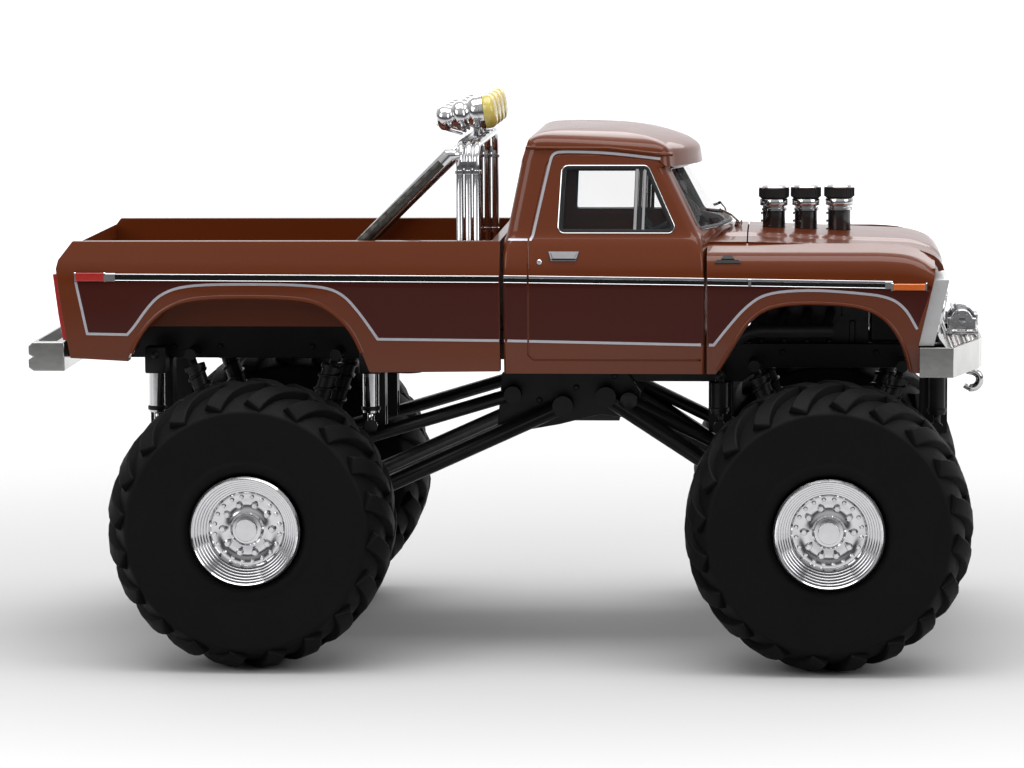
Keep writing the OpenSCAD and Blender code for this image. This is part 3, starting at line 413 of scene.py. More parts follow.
def cab_ring(h, inset=0.0, sink=0.0):
    """The cab's outline at one height, taken in by inset and down by sink"""
    back, front, bulge, drop = along(cab_levels, h)
    xr, xf = cab_back + back + inset, cab_back + front - inset
    w = max(half_w - along(side_levels, h)[0] - inset, 1)
    c = min(0.5 + 1.1 * clamp((h - 16) / 3), w / 3, (xf - xr) / 3)
    across = steps(c - w, w - c, (w - c) / 12)[1:-1]
    lengthways = steps(xr + c, xf - c, (xf - xr - 2 * c) / 20)[1:-1]
    ring = corner(xr + c, c - w, c, -90, -180) + [(xr, y) for y in across]
    ring += corner(xr + c, w - c, c, 180, 90) + [(x, w) for x in lengthways] + corner(xf - c, w - c, c, 90, 0)
    ring += [(xf + bulge * (1 - (y / (w - c)) ** 2), y) for y in reversed(across)]
    ring += corner(xf - c, c - w, c, 0, -90) + [(x, -w) for x in reversed(lengthways)]
    return [at(x, y, rocker + h - sink - drop * clamp((x - cab_back) / 27) ** 2) for x, y in ring]


heights = steps(0, 12, 1.2) + steps(12, 18.2, 1.0)[1:] + steps(18.2, 18.9, 0.35)[1:]
heights += steps(18.9, 28.6, 1.1)[1:] + [28.85] + steps(28.85, 31.2, 0.6)[1:]
heights += [31.5, 31.8, 32.1, 32.4, 32.65, 32.9, 33.07, 33.25]
bm = stack(bmesh.new(), [cab_ring(h) for h in heights])
roof, shoulder = (29.9, 40), (16.5, 20.5)
for lo, hi in (roof, shoulder):
    eased = [v for v in bm.verts if lo < v.co.z / MM - rocker < hi]
    bmesh.ops.smooth_vert(bm, verts=eased, factor=0.5, use_axis_x=True, use_axis_y=True, use_axis_z=True)


def opening(lower, upper, low, high, r_low, r_high, tilt=0):
    """A window's outline, from the centres of its two lower round corners and its two upper ones"""
    low, high = rocker + low, rocker + high
    return (corner(lower[0], low, r_low, 180, 270) + corner(lower[1], low, r_low, 270, 360 + tilt)
            + corner(upper[1], high, r_high, tilt, 90) + corner(upper[0], high, r_high, 90, 180))


door_window = opening((3.1, 17.3), (3.6, 13.9), 20.1, 27.4, 0.7, 0.8, 25)
rear_opening = opening((10.4 - half_w, half_w - 10.4), (11.4 - half_w, half_w - 11.4), 21.3, 26.2, 1, 1)
screen_opening = opening((5.6 - half_w, half_w - 5.6), (8 - half_w, half_w - 8), 20.3, 26.9, 0.7, 0.8)


def carve(piece_bm, cutter_bm, operation="DIFFERENCE"):
    """Cuts one closed shape out of another and gives back what is left, as a bmesh"""
    objects = []
    for shape in (piece_bm, cutter_bm):
        mesh = bpy.data.meshes.new("scratch")
        shape.to_mesh(mesh)
        shape.free()
        objects.append(bpy.data.objects.new("scratch", mesh))
        scene.collection.objects.link(objects[-1])
    cut = objects[0].modifiers.new("cut", "BOOLEAN")
    cut.operation, cut.solver, cut.object, cut.use_self = operation, "EXACT", objects[1], False
    left = bmesh.new()
    made = bpy.data.meshes.new_from_object(objects[0].evaluated_get(bpy.context.evaluated_depsgraph_get()))
    left.from_mesh(made)
    for o in objects:
        bpy.data.objects.remove(o)
    bpy.data.meshes.remove(made)
    return left


inner_heights = [-1] + [h for h in heights if 0.5 < h < 32.2]
bm = carve(bm, stack(bmesh.new(), [cab_ring(h, 1.0, 0.0 if h < 30 else 0.9) for h in inner_heights]))
bm = carve(bm, slab(bmesh.new(), door_window, -40, 40))
for outline, ends in ((rear_opening, (cab_back - 2, cab_back + 8)), (screen_opening, (12, 32))):
    bm = carve(bm, stack(bmesh.new(), [[at(x, y, z) for y, z in outline] for x in ends]))
bm = carve(bm, block(bmesh.new(), (cab_back - 1, 2.2 - half_w, rocker - 2), (30, half_w - 2.2, rocker + 4)))
body_skins = [BVHTree.FromBMesh(bm)]


def on_side(x, z):
    """The body's left skin at a station and a height: the point, and the way it faces"""
    for dx in (0, 0.3, -0.3, 0.6, -0.6, 1.0, -1.0):
        hits = [skin.ray_cast(at(x + dx, 60, z), Vector((0, -1, 0))) for skin in body_skins]
        hits = [(hit[0], hit[1]) for hit in hits if hit[0] and hit[0].y > 0.5 * half_w * MM]
        if hits:
            hit, normal = max(hits, key=lambda h: h[0].y)
            return Vector((at(x, 0, 0).x, hit.y, hit.z)), normal
    raise ValueError(f"no body at {x}, {z}")


def fill_in(path, step=1.0):
    """More points along a path, a step apart"""
    made = [path[0]]
    for a, b in zip(path, path[1:]):
        n = max(1, round(math.dist(a, b) / step))
        made += [tuple(p + (q - p) * i / n for p, q in zip(a, b)) for i in range(1, n + 1)]
    return made


def laid(path, step=1.0, lift=0.0):
    """A path of (x, z) laid on the body's left side: its points and the ways the skin faces there"""
    hits = [on_side(x, z) for x, z in (fill_in(path, step) if step else path)]
    return [p + n * lift * MM for p, n in hits], [n for _, n in hits]


def strip(bm, path, section, step=0):
    """A section drawn along a path of (x, z) on the body's left side"""
    sweep(bm, laid(path, step)[0], section, to_left)


door_back_x, door_front_x = -1.8, 22.4
door_edge = [(door_front_x, 16), (door_front_x, 2.6), (door_front_x - 0.7, 1.9), (door_back_x + 0.7, 1.9),
             (door_back_x, 2.6), (door_back_x, 17.9), (-1.45, 19.2), (0.55, 28.4), (1.2, 29.4), (2.4, 29.9),
             (9, 29.8), (15.8, 29.0), (16.8, 28.2)]
groove = bmesh.new()
points, normals = laid([(x, rocker + h) for x, h in door_edge], 1.2, 0.03)
sweep(groove, points, round_bar(0.16, 8), normals)
bm = carve(bm, both(groove))
settle(bm, "cab_casting", copper_brown, "body_paint", stands_for=["cab_shell"], sharp=38)

# The front clip: fenders, hood and cowl. Thin zinc sheets in the real truck's three panels,
# with a rolled lip round each wheel arch and a fine gap round the hood.
nose_x = station(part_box("front_fenders")[1])
hood_w = half_w - 5.8


def face_x(h):
    """Where the fenders end and the grille begins, at a height above the rocker"""
    return along([(0, 52.3), (4, 51.5), (13.2, nose_x), (16, nose_x + 0.4)], h)[0]


def curve(a, b, c, n=7):
    """A smooth corner from a to c that leans on b"""
    return [tuple((1 - t) ** 2 * p + 2 * t * (1 - t) * q + t * t * r for p, q, r in zip(a, b, c))
            for t in [i / n for i in range(n + 1)]]


def formed(bm, across, lengthways, place):
    """A sheet of squares, each corner put where place(u, v) says for u and v from 0 to 1"""
    for v in bmesh.ops.create_grid(bm, x_segments=across, y_segments=lengthways, size=0.5)["verts"]:
        v.co = place(v.co.x + 0.5, v.co.y + 0.5)
    bm.normal_update()
    return bm


def walled(bm, thick, outward):
    """Gives an open sheet its wall, away from the side that faces outward"""
    face_out(bm)
    if sum(f.normal.dot(outward) for f in bm.faces) < 0:
        bmesh.ops.reverse_faces(bm, faces=bm.faces)
        bm.normal_update()
    skin = {v: v.normal.copy() for v in bm.verts}
    bmesh.ops.extrude_face_region(bm, geom=bm.faces[:])
    for v, n in skin.items():
        v.co -= n * (thick * MM)
    return face_out(bm)


def pick(row, t):
    """The point at t, from 0 to 1, along a row of points"""
    i = min(int(t * (len(row) - 1) + 1e-6), len(row) - 2)
    f = t * (len(row) - 1) - i
    return tuple(a + (b - a) * f for a, b in zip(row[i], row[i + 1]))


shoulder_y = half_w - 0.12
fender_edge = [(-0.2, half_w - 0.92), (4, half_w - 0.4), (8, half_w - 0.2), (12, half_w), (14, shoulder_y)]
fender_curve = curve((shoulder_y, 14), (half_w - 0.35, 16.35), (half_w - 2.9, 16.78))
fender_edge = fill_in(fender_edge, 1.2) + [(h, y) for y, h in fender_curve[1:]]
fender_edge += fill_in([fender_edge[-1], (17.55, hood_w - 0.35)], 1.0)[1:]
droop = [(22, 0), (46, 0), (48, 0.1), (49.5, 0.25), (50.7, 0.5), (51.8, 0.88), (52.8, 1.4), (53.6, 1.95),
         (54.5, 2.6)]


def fender_at(u, v):
    x = door_front_x + 0.1 + 32 * v
    h, y = pick(fender_edge, u)
    return at(x, y, rocker + h - along(droop, x)[0] * clamp((h - 11) / 5.5))


bm = walled(formed(bmesh.new(), 60, 44, fender_at), 0.9, Vector((0, 1, 0.4)))
fender_side = [(door_front_x + 0.25, 0), (face_x(0), 0.2), *((face_x(h), h) for h in (4, 8, 13.2, 14.4)),
               (53.65, 20), (door_front_x + 0.25, 20)]
bm = carve(bm, slab(bmesh.new(), [(x, rocker + h) for x, h in fender_side], 10, 40), "INTERSECT")
front_arch = [(22.6, -2), (24.3, 0.6), (27.2, 5.7), (28.6, 7.6), (31, 9.2), (34.8, 9.8), (40.6, 9.7),
              (44.4, 9.1), (47, 7.7), (48.8, 5.4), (50, 2.7), (50.9, -2)]


def rounded(path, n=5):
    """A smooth line through the middles of a rough outline's sides"""
    middle = [tuple((p + q) / 2 for p, q in zip(a, b)) for a, b in zip(path, path[1:])]
    made = [path[0], middle[0]]
    for i in range(1, len(path) - 1):
        made += curve(middle[i - 1], path[i], middle[i], n)[1:]
    return made + [path[-1]]


arch_line = [(x, rocker + h) for x, h in rounded(front_arch)]
bm = carve(bm, slab(bmesh.new(), arch_line, 10, 40))
body_skins.append(BVHTree.FromBMesh(bm))
settle(both(bm), "front_fender_skins", copper_brown, "body_paint", stands_for=["front_fenders"], sharp=38)

lip = bmesh.new()
front_lip = [(x, z) for x, z in arch_line if z > rocker + 0.1]
points = [at(x, along(fender_edge, z + 0.12 - rocker)[0], z + 0.12) for x, z in front_lip]
sweep(lip, points, [(-0.28, -0.5), (0.28, -0.5), (0.28, 0.05), (0.12, 0.2), (-0.12, 0.2), (-0.28, 0.05)],
      to_left)
settle(both(lip), "front_arch_lips", copper_brown, "body_paint", sharp=50)

hood_across = [(-1, -1.5), (-0.985, -1.38), (-0.95, -1.3), (-0.68, -0.86), (-0.64, -0.6), (-0.6, -0.25),
               (-0.56, -0.14), (-0.3, 0.02), (0, 0.1)]
hood_across += [(-a, b) for a, b in reversed(hood_across[:-1])]
hood_long = [(22, 18.75), (29, 18.6), (42.9, 18.05), (49.0, 17.85), (50.5, 17.75), (52, 17.4), (53.6, 16.8),
             (54.5, 16.0), (54.95, 15.3), (55.1, 14.7)]
hood_stations = steps(28.2, 50, 1.2) + [50.6, 51.3, 52, 52.6, 53.2, 53.7, 54.1, 54.4, 54.7, 54.9, 55.05, 55.1]
hood_stations = [(x,) for x in hood_stations]


def hood_at(u, v):
    x, u = pick(hood_stations, v)[0], 2 * u - 1
    w = hood_w - 0.1 - max(0, x - 53.2) * 0.25
    return at(x, u * w, rocker + along(hood_long, x)[0] + along(hood_across, u)[0] * 0.55)


bm = formed(bmesh.new(), 48, len(hood_stations) - 1, hood_at)
bmesh.ops.smooth_vert(bm, verts=[v for v in bm.verts if not v.is_boundary], factor=0.5, use_axis_x=True,
                      use_axis_y=True, use_axis_z=True)
bm = walled(bm, 0.8, Vector((0.3, 0, 1)))
stack_x, hole_r = (31.7, 36.2, 40.9), 1.72
for x in stack_x:
    bm = carve(bm, clean(spun(bmesh.new(), [(0, 10), (hole_r, 10), (hole_r, 30), (0, 30)], at(x, 0, rocker),
                              (0, 0, 1), 32)))
settle(bm, "hood_panel", copper_brown, "body_paint", stands_for=["hood"], sharp=50)


def cowl_at(u, v):
    u = 2 * u - 1
    back = cab_back + 26.0 + 3.8 * (1 - u * u)
    return at(back + (28.0 - back) * v, u * (hood_w - 0.1), rocker + 18.62 + along(hood_across, u)[0] * 0.55)


bm = walled(formed(bmesh.new(), 40, 5, cowl_at), 0.7, upward)
settle(bm, "cowl_panel", copper_brown, "body_paint", sharp=50)

# The cargo bed and its tailgate: two zinc castings in the cab's brown, screwed to the frame
# behind the cab with a seam's gap between.
bm = cast("cargo_bed")
body_skins.append(BVHTree.FromBMesh(bm))
settle(bm, "bed_casting", copper_brown, "body_paint", stands_for=["cargo_bed"], edge=0.22)
dress("tailgate", "tailgate_casting", copper_brown, "body_paint", edge=0.2)

# The cab's glazing: clear pressed plastic behind the openings, in black rubber seals with a
# bright bead, and a divider post in each door window where the real truck has its vent.
def cab_side(x, z, out=0.0):
    return at(x, half_w - along(side_levels, z - rocker)[0] + out, z)


def cab_front(y, z, out=0.0):
    h = z - rocker
    for _ in range(3):
        _, front, bulge, drop = along(cab_levels, h)
        h = z - rocker + drop
    w = half_w - along(side_levels, h)[0]
    return at(cab_back + front + bulge * max(0, 1 - (y / (w - 1.6)) ** 2) + out, y, z)


def cab_rear(y, z, out=0.0):
    return at(cab_back + along(cab_levels, z - rocker)[0] - out, y, z)


def facing(place, a, b, outward):
    """The way that a surface faces at a, b"""
    n = (place(a + 0.2, b) - place(a - 0.2, b)).cross(place(a, b + 0.2) - place(a, b - 0.2)).normalized()
    return n if n.dot(outward) > 0 else -n


def surfaced(name, dark, light, blotch, gloss, dents, **settings):
    """A finish of two tones. blotch is the size in mm and detail of the noise that mixes them, gloss the
    same for the roughness with its span and least value, dents the same for bumps with their depth in mm"""
    f = Finish(name, **settings)
    f.feed(Base_Color=f.between(f.noise(*blotch), dark, light),
           Roughness=f.noise(*gloss[:2]) * gloss[2] + gloss[3])
    return f.bump(f.noise(*dents[:2]), dents[2])


rubber_seal = surfaced("window_rubber", (0.006, 0.006, 0.0065), (0.012, 0.012, 0.0125), (2, 2),
                       (0.6, 2, 0.2, 0.4), (0.2, 2, 0.006), Specular_IOR_Level=0.35)
seals, beads = bmesh.new(), bmesh.new()
for place, outline, outward in ((cab_side, door_window, to_left),
                                (cab_front, screen_opening[::-1], Vector((1, 0, 0.3))),
                                (cab_rear, rear_opening, Vector((-1, 0, 0)))):
    outline = fill_in(outline + outline[:1], 0.9)[:-1]
    points, outs = [place(*p) for p in outline], [facing(place, *p, outward) for p in outline]
    for k in ((1,) if place is not cab_side else (1, -1)):
        flip = Vector((1, k, 1))
        ring = [(0.42, -0.8), (0.42, -0.12), (0.28, 0.05), (0.02, 0.1), (-0.12, 0.04), (-0.12, -0.8)]
        bead = [(-0.11, -0.3), (-0.11, 0.1), (-0.15, 0.13), (-0.22, 0.1), (-0.25, -0.3)]
        if k < 0:
            ring, bead = ([(-a, b) for a, b in reversed(r)] for r in (ring, bead))
        sweep(seals, [p * flip for p in points], ring, [n * flip for n in outs], closed=True)
        sweep(beads, [p * flip for p in points], bead, [n * flip for n in outs], closed=True)
for x, wide, kind in ((12.75, 0.55, beads), (13.3, 0.5, seals), (13.85, 0.5, beads)):
    points = [cab_side(x + 0.03 * i, rocker + 19.7 + i * 0.82, -0.1) for i in range(11)]
    for k in (1, -1):
        sweep(kind, [p * Vector((1, k, 1)) for p in points], oblong(wide, 0.1, 0.5, 0.08), Vector((0, k, 0)))
settle(seals, "window_seals", rubber_seal, "chassis_black")

chrome = surfaced("chrome_plate", (0.56, 0.56, 0.575), (0.68, 0.68, 0.69), (2.5, 2), (1.5, 3, 0.10, 0.06),
                  (1.1, 1, 0.005), Metallic=1.0)
settle(beads, "window_beads", chrome, "chrome")

glass = Finish("clear_glazing", Roughness=0.03, Coat_Weight=0.2)
glass.feed(Base_Color=glass.between(glass.noise(4, 2), (0.05, 0.06, 0.065), (0.07, 0.08, 0.085)),
           Alpha=glass.noise(9, 2) * 0.03 + 0.07)
for node in ("side_windows", "windshield", "rear_window"):
    dress(node, node + "_pane", glass, "clear_glass", sharp=60, weighted=True)

# The cab's trim: painted drip rails pressed along the roof's edge, plated door handles with a
# keyhole behind each, wipers on the windshield, and the bare plinth of a badge.
def raised(bm, outline, levels, place):
    """A plate that stands on a surface. Each level is how far out, and how much smaller than the outline"""
    ca, cb = (sum(p[i] for p in outline) / len(outline) for i in (0, 1))
    return stack(bm, [[place(ca + (a - ca) * k, cb + (b - cb) * k, lift) for a, b in outline]
                      for lift, k in levels])


bm = bmesh.new()
strip(bm, [(-2.2, rocker + 30.75), (9, rocker + 30.7), (17.6, rocker + 29.75)],
      [(-0.24, -0.4), (0.24, -0.4), (0.24, 0.16), (0.1, 0.34), (-0.1, 0.34), (-0.24, 0.16)], 0.9)
settle(both(bm), "drip_rails", copper_brown, "body_paint", sharp=50)

handle_z = rocker + 16.15
bm = bmesh.new()
paddle = [(1.2, handle_z + 0.5), (1.5, handle_z - 0.25), (4.6, handle_z - 0.25), (4.95, handle_z + 0.5)]
raised(bm, [(0.9, handle_z + 0.7), (1.3, handle_z - 0.6), (4.8, handle_z - 0.6), (5.25, handle_z + 0.7)],
       ((-0.3, 1), (0.1, 1), (0.18, 0.95)), cab_side)
raised(bm, paddle, ((0.1, 1), (0.42, 0.98), (0.5, 0.92)), cab_side)
spun(bm, [(0, -0.3), (0.34, -0.3), (0.34, 0.1), (0.24, 0.18), (0.12, 0.18), (0.1, 0.06), (0, 0.06)],
     cab_side(-0.25, rocker + 15.4), (0, 1, 0.2), 20)
settle(both(bm), "door_handles", chrome, "chrome", sharp=30)
bm = bmesh.new()
raised(bm, [(1.3, handle_z - 0.28), (1.45, handle_z - 0.5), (4.7, handle_z - 0.5), (4.9, handle_z - 0.28)],
       ((0.0, 1), (0.24, 0.98)), cab_side)
settle(both(bm), "handle_shadows", rubber_seal, "chassis_black")


def on_skin(x, z, out=0.0):
    p, n = on_side(x, z)
    return p + n * out * MM


bm = bmesh.new()
for row, lo, hi in ((0, 23.7, 27.3), (1, 24.6, 26.4)):
    z = rocker + 15.2 + row * 0.55
    raised(bm, [(lo, z), (hi, z), (hi - 0.3, z + 0.45), (lo + 0.3, z + 0.45)],
           ((-0.2, 1), (0.1, 1), (0.16, 0.95)), on_skin)
settle(both(bm), "badge_plinths", rubber_seal, "chassis_black")

wiper_arms, wiper_blades = bmesh.new(), bmesh.new()
for y in (11.5, -2.5):
    rest_line = [(y - i * 1.0, rocker + 20.9 + 0.10 * i) for i in range(10)]
    points = [cab_front(a, b, -0.1) for a, b in rest_line]
    sweep(wiper_blades, points, oblong(0.34, 0.14, 0.26, 0.06), Vector((1, 0, 0.45)))
    foot = cab_front(y + 1.6, rocker + 19.3, 0.9)
    sweep(wiper_arms, [foot, foot.lerp(points[4], 0.5) + Vector((0.35, 0, 0.2)) * MM,
                       points[4] + Vector((0.28, 0, 0.15)) * MM], round_bar(0.16, 8), Vector((1, 0, 0.45)))
    spun(wiper_arms, [(0, -0.8), (0.5, -0.8), (0.5, 0.1), (0.3, 0.35), (0, 0.35)], foot, (0.3, 0, 1), 16)
settle(wiper_blades, "wiper_blades", rubber_seal, "chassis_black")
settle(wiper_arms, "wiper_arms", chrome, "chrome")

# Inside the cab: a flat tray with a hump over the gearbox, a bench moulded in one piece with
# pleats, a dashboard with its dials, and the steering wheel on its column. All hard plastic.
matt_black = surfaced("interior_black", (0.012, 0.012, 0.012), (0.022, 0.022, 0.022), (1, 3),
                      (0.5, 3, 0.2, 0.55), (0.15, 2, 0.01), Specular_IOR_Level=0.3)
cab_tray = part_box("cab_floor")[1].z / MM
bm = cast("cab_floor")
hump = [(-3.4, -0.2), (3.4, -0.2), (2.4, 2.2), (1.6, 2.8), (-1.6, 2.8), (-2.4, 2.2)]
stack(bm, [[at(x, y * k, cab_tray + h) for y, h in hump] for x, k in ((10.2, 0.8), (12, 1), (21.6, 1.15))])
for y, wide in ((11.5, 1.5), (8.6, 1.5), (6.2, 0.9)):
    block(bm, (19.2, y - wide / 2, cab_tray + 1.6), (19.7, y + wide / 2, cab_tray + 3.2), 0.1)
    block(bm, (19.5, y - 0.2, cab_tray + 1.8), (21.8, y + 0.2, cab_tray + 2.2))
settle(bm, "cab_tray", matt_black, "interior_black", stands_for=["cab_floor"], edge=0.12)

dress("bench_seat", "bench_moulding", matt_black, "interior_black", edge=0.8, sharp=50)
bm = bmesh.new()
pleat = [(-0.72, -0.4), (0.72, -0.4), (0.5, 0.2), (0, 0.3), (-0.5, 0.2)]
for i in range(-9, 10):
    for line, out in (([(8.9, 5.42), (5.5, 5.15), (2.6, 4.85)], upward),
                      ([(1.25, 6.2), (0.4, 9.5), (-0.35, 12.9)], Vector((1, 0, 0.24)))):
        sweep(bm, [at(x, i * 1.85, cab_tray + h) for x, h in line], pleat, out)
settle(bm, "bench_pleats", matt_black, "interior_black", edge=0.1, sharp=40)

dress("dashboard", "dashboard_moulding", matt_black, "interior_black", edge=0.3)
bm = bmesh.new()
dash_face = station(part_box("dashboard")[0])
for y, z, r in ((10.9, 54.6, 1.2), (7.9, 54.6, 1.2), (5.6, 55.0, 0.6), (13.3, 55.0, 0.6)):
    spun(bm, [(0, -0.4), (r + 0.2, -0.4), (r + 0.2, 0.18), (r, 0.22), (r - 0.12, 0.05), (0, 0.05)],
         at(dash_face + 0.1, y, z), (-1, 0, 0.1), 24)
for k in range(5):
    spun(bm, [(0, -0.2), (0.28, -0.2), (0.24, 0.4), (0, 0.42)], at(dash_face + 0.15, 1.8 - k * 1.1, 53.4),
         (-1, 0, 0), 12)
block(bm, (dash_face - 0.05, -15.5, 53.6), (dash_face + 0.3, -6.5, 56.0), 0.1)
block(bm, (dash_face - 0.1, -2.9, 54.4), (dash_face + 0.3, 2.2, 55.8), 0.1)
settle(bm, "dashboard_dials", chrome, "chrome", sharp=40, weighted=True)
dress("steering_wheel", "steering_wheel_moulding", matt_black, "interior_black", sharp=50, weighted=True)
bm = bmesh.new()
for y in (16.4, -16.4):
    block(bm, (12.6, y - 0.5, 55.6), (21.5, y + 0.9 * (1 if y > 0 else -1), 56.5), 0.15)
spun(bm, [(0, 0), (0.3, 0), (0.22, 6.6), (0.5, 6.9), (0.5, 7.5), (0, 7.7)], at(14.2, 1.2, cab_tray + 2.4),
     (-0.12, 0.05, 1), 16)
settle(bm, "door_rests_and_lever", matt_black, "interior_black", sharp=40, weighted=True)
bm = bmesh.new()
sweep(bm, [at(9.5, -1.3, rocker + 29.2), at(9.3, -1.3, rocker + 27.9)], round_bar(0.2, 8), to_left)
block(bm, (9.0, -2.7, rocker + 26.6), (9.5, 2.7, rocker + 28.0), 0.2)
settle(bm, "rear_view_mirror", matt_black, "interior_black", sharp=40, weighted=True)

# The nose: a painted wall that joins the fenders, the plated grille insert in it with its bars
# and lamp sockets, a black radiator behind, and two sealed-beam headlights.
wall_line = [(face_x(0.4) - 1.1, 0.4), (face_x(0.4), 0.4)] + [(face_x(h), h) for h in (4, 13.2, 14.6)]
wall_line += [(face_x(h) - 1.1, h) for h in (14.6, 13.2, 4)]
bm = slab(bmesh.new(), [(x, rocker + h) for x, h in wall_line], 1.0 - half_w, half_w - 1.0)
bm = carve(bm, block(bmesh.new(), (45, 9.4 - half_w, rocker + 4.8), (60, half_w - 9.4, rocker + 12.5)))
bm = carve(bm, block(bmesh.new(), (45, 3 - half_w, rocker - 2), (60, half_w - 3, rocker + 3.8)))
settle(bm, "nose_wall", copper_brown, "body_paint", edge=0.15)

satin_plate = surfaced("satin_plate", (0.62, 0.62, 0.63), (0.72, 0.72, 0.72), (3, 2), (0.9, 3, 0.12, 0.24),
                       (0.5, 2, 0.004), Metallic=0.75)
dress("grille", "grille_insert", satin_plate, "chrome", edge=0.12)
bm = bmesh.new()
lean = math.atan2(face_x(13.2) - face_x(4), 9.2)
forward = Vector((math.cos(lean), 0, -math.sin(lean)))
lamp_at = at(face_x(8.6), half_w - 5.5, rocker + 8.6)
for k in (1, -1):
    lamp = lamp_at * Vector((1, k, 1))
    spun(bm, [(2.62, 1.5), (2.62, 2.3), (2.75, 2.5), (3.0, 2.5), (3.25, 2.3), (3.3, 2.05), (3.3, 1.5)],
         lamp, forward, 48)
    for a in (45, 135, 225, 315):
        a = math.radians(a)
        outward = Vector((forward.z, 0, -forward.x)) * math.sin(a) + to_left * math.cos(a)
        spun(bm, [(0, 0), (0.3, 0), (0.26, 0.22), (0, 0.26)], lamp + (outward * 3.55 + forward * 2.1) * MM,
             forward, 12)
frame_line = [(y, h) for y, h in ((-13.4, 5.2), (13.4, 5.2), (13.4, 12.0), (-13.4, 12.0))]
points = [at(face_x(h) + 2.1, y, rocker + h) for y, h in frame_line]
sweep(bm, points, oblong(0.5, 0.35, 0.1, 0.12), forward, closed=True)
for h in (7.6, 9.5, 11.4):
    sweep(bm, [at(face_x(h) + 1.6, -13.3, rocker + h), at(face_x(h) + 1.6, 13.3, rocker + h)],
          oblong(0.36, 0.25, 0.3, 0.1), forward)
settle(bm, "lamp_bezels", chrome, "chrome", sharp=40)
bm = bmesh.new()
for k in (1, -1):
    spun(bm, [(0, 0.25), (2.55, 0.25), (2.6, 1.6), (2.45, 1.85), (2.0, 2.1), (1.2, 2.3), (0, 2.38)],
         lamp_at * Vector((1, k, 1)), forward, 48)
lens = Finish("lamp_lens", Coat_Weight=0.6, Coat_Roughness=0.05, Specular_IOR_Level=0.6)
flutes = lens.node("TexWave", {"wave_type": "BANDS", "bands_direction": "Y"},
                   {"Vector": lens.place(), "Scale": 480.0, "Distortion": 0.0})
lens.feed(Base_Color=lens.between(flutes * 0.6 + lens.noise(0.8, 2) * 0.4, (0.30, 0.32, 0.33),
                                  (0.62, 0.65, 0.66)), Roughness=lens.noise(0.5, 2) * 0.1 + 0.08)
lens.bump(flutes, 0.06)
settle(bm, "headlight_lenses", lens, "lamp_lens", stands_for=["headlights"])

semi_black = surfaced("chassis_black", (0.0025, 0.0025, 0.0028), (0.006, 0.006, 0.0064), (3, 3),
                      (1.2, 3, 0.2, 0.3), (0.3, 2, 0.008), Specular_IOR_Level=0.22)
bm = bmesh.new()
block(bm, (50.0, -13.2, rocker + 4.2), (51.0, 13.2, rocker + 13.4), 0.1)
for i in range(-24, 25):
    block(bm, (50.9, i * 0.53 - 0.08, rocker + 4.6), (51.25, i * 0.53 + 0.08, rocker + 13.0))
for z in (rocker + 4.3, rocker + 12.6):
    block(bm, (49.8, -13.6, z), (51.6, 13.6, z + 0.9), 0.2)
block(bm, (45.3, -9.5, rocker + 3.2), (50.1, 9.5, rocker + 12.2), 0.4)
settle(bm, "radiator", semi_black, "chassis_black", weighted=True)


def translucent(name, colour, dark):
    """Coloured clear plastic with moulded ribs"""
    return surfaced(name, dark, colour, (0.7, 2), (0.4, 2, 0.1, 0.14), (0.3, 1, 0.012),
                    Coat_Weight=0.6, Subsurface_Weight=0.12, Subsurface_Scale=0.0005)


amber = translucent("amber_lens", (0.62, 0.13, 0.010), (0.48, 0.09, 0.006))
bm = bmesh.new()
strip(bm, [(48.0, rocker + 12.1), (52.4, rocker + 12.1)], oblong(0.95, 0.4, 0.2, 0.14), 1.1)
settle(both(bm), "marker_lenses", amber, "amber_lens", stands_for=["front_marker_lamps"], edge=0.06)
bm = bmesh.new()
for x, wide in ((47.85, 0.16), (52.5, 0.06)):
    strip(bm, [(x - wide, rocker + 12.1), (x + wide, rocker + 12.1)], oblong(1.2, 0.42, 0.2, 0.1))
settle(both(bm), "marker_frames", chrome, "chrome", sharp=40, weighted=True)

# The bed's fittings: rolled lips round the wheel arches, ribs pressed in the floor and the
# front wall, the tailgate's black hinges, pressed panel and bright trim, and the tail lamps.
rear_axle_x = -axle_x
rear_arch = [(-18.1, -2), (-17.8, 2.1), (-15.5, 6.2), (-12.3, 9.1), (-8.4, 10.2), (-0.8, 10.4), (7.1, 10.1),
             (10.0, 8.8), (12.8, 6.3), (14.3, 3.4), (16.4, -2)]
bm = bmesh.new()
line = [(rear_axle_x + x, rocker + h) for x, h in rounded(rear_arch) if h > 1.9]
bed_side = [(2, half_w - 0.5), (12, half_w), (15, half_w - 0.3), (18.4, half_w - 1.4)]
points = [at(x, along(bed_side, z + 0.2 - rocker)[0], z + 0.2) for x, z in line]
sweep(bm, points, [(-0.3, -0.8), (0.3, -0.8), (0.3, 0.05), (0.12, 0.2), (-0.12, 0.2), (-0.3, 0.05)], to_left)
settle(both(bm), "rear_arch_lips", copper_brown, "body_paint", sharp=50)

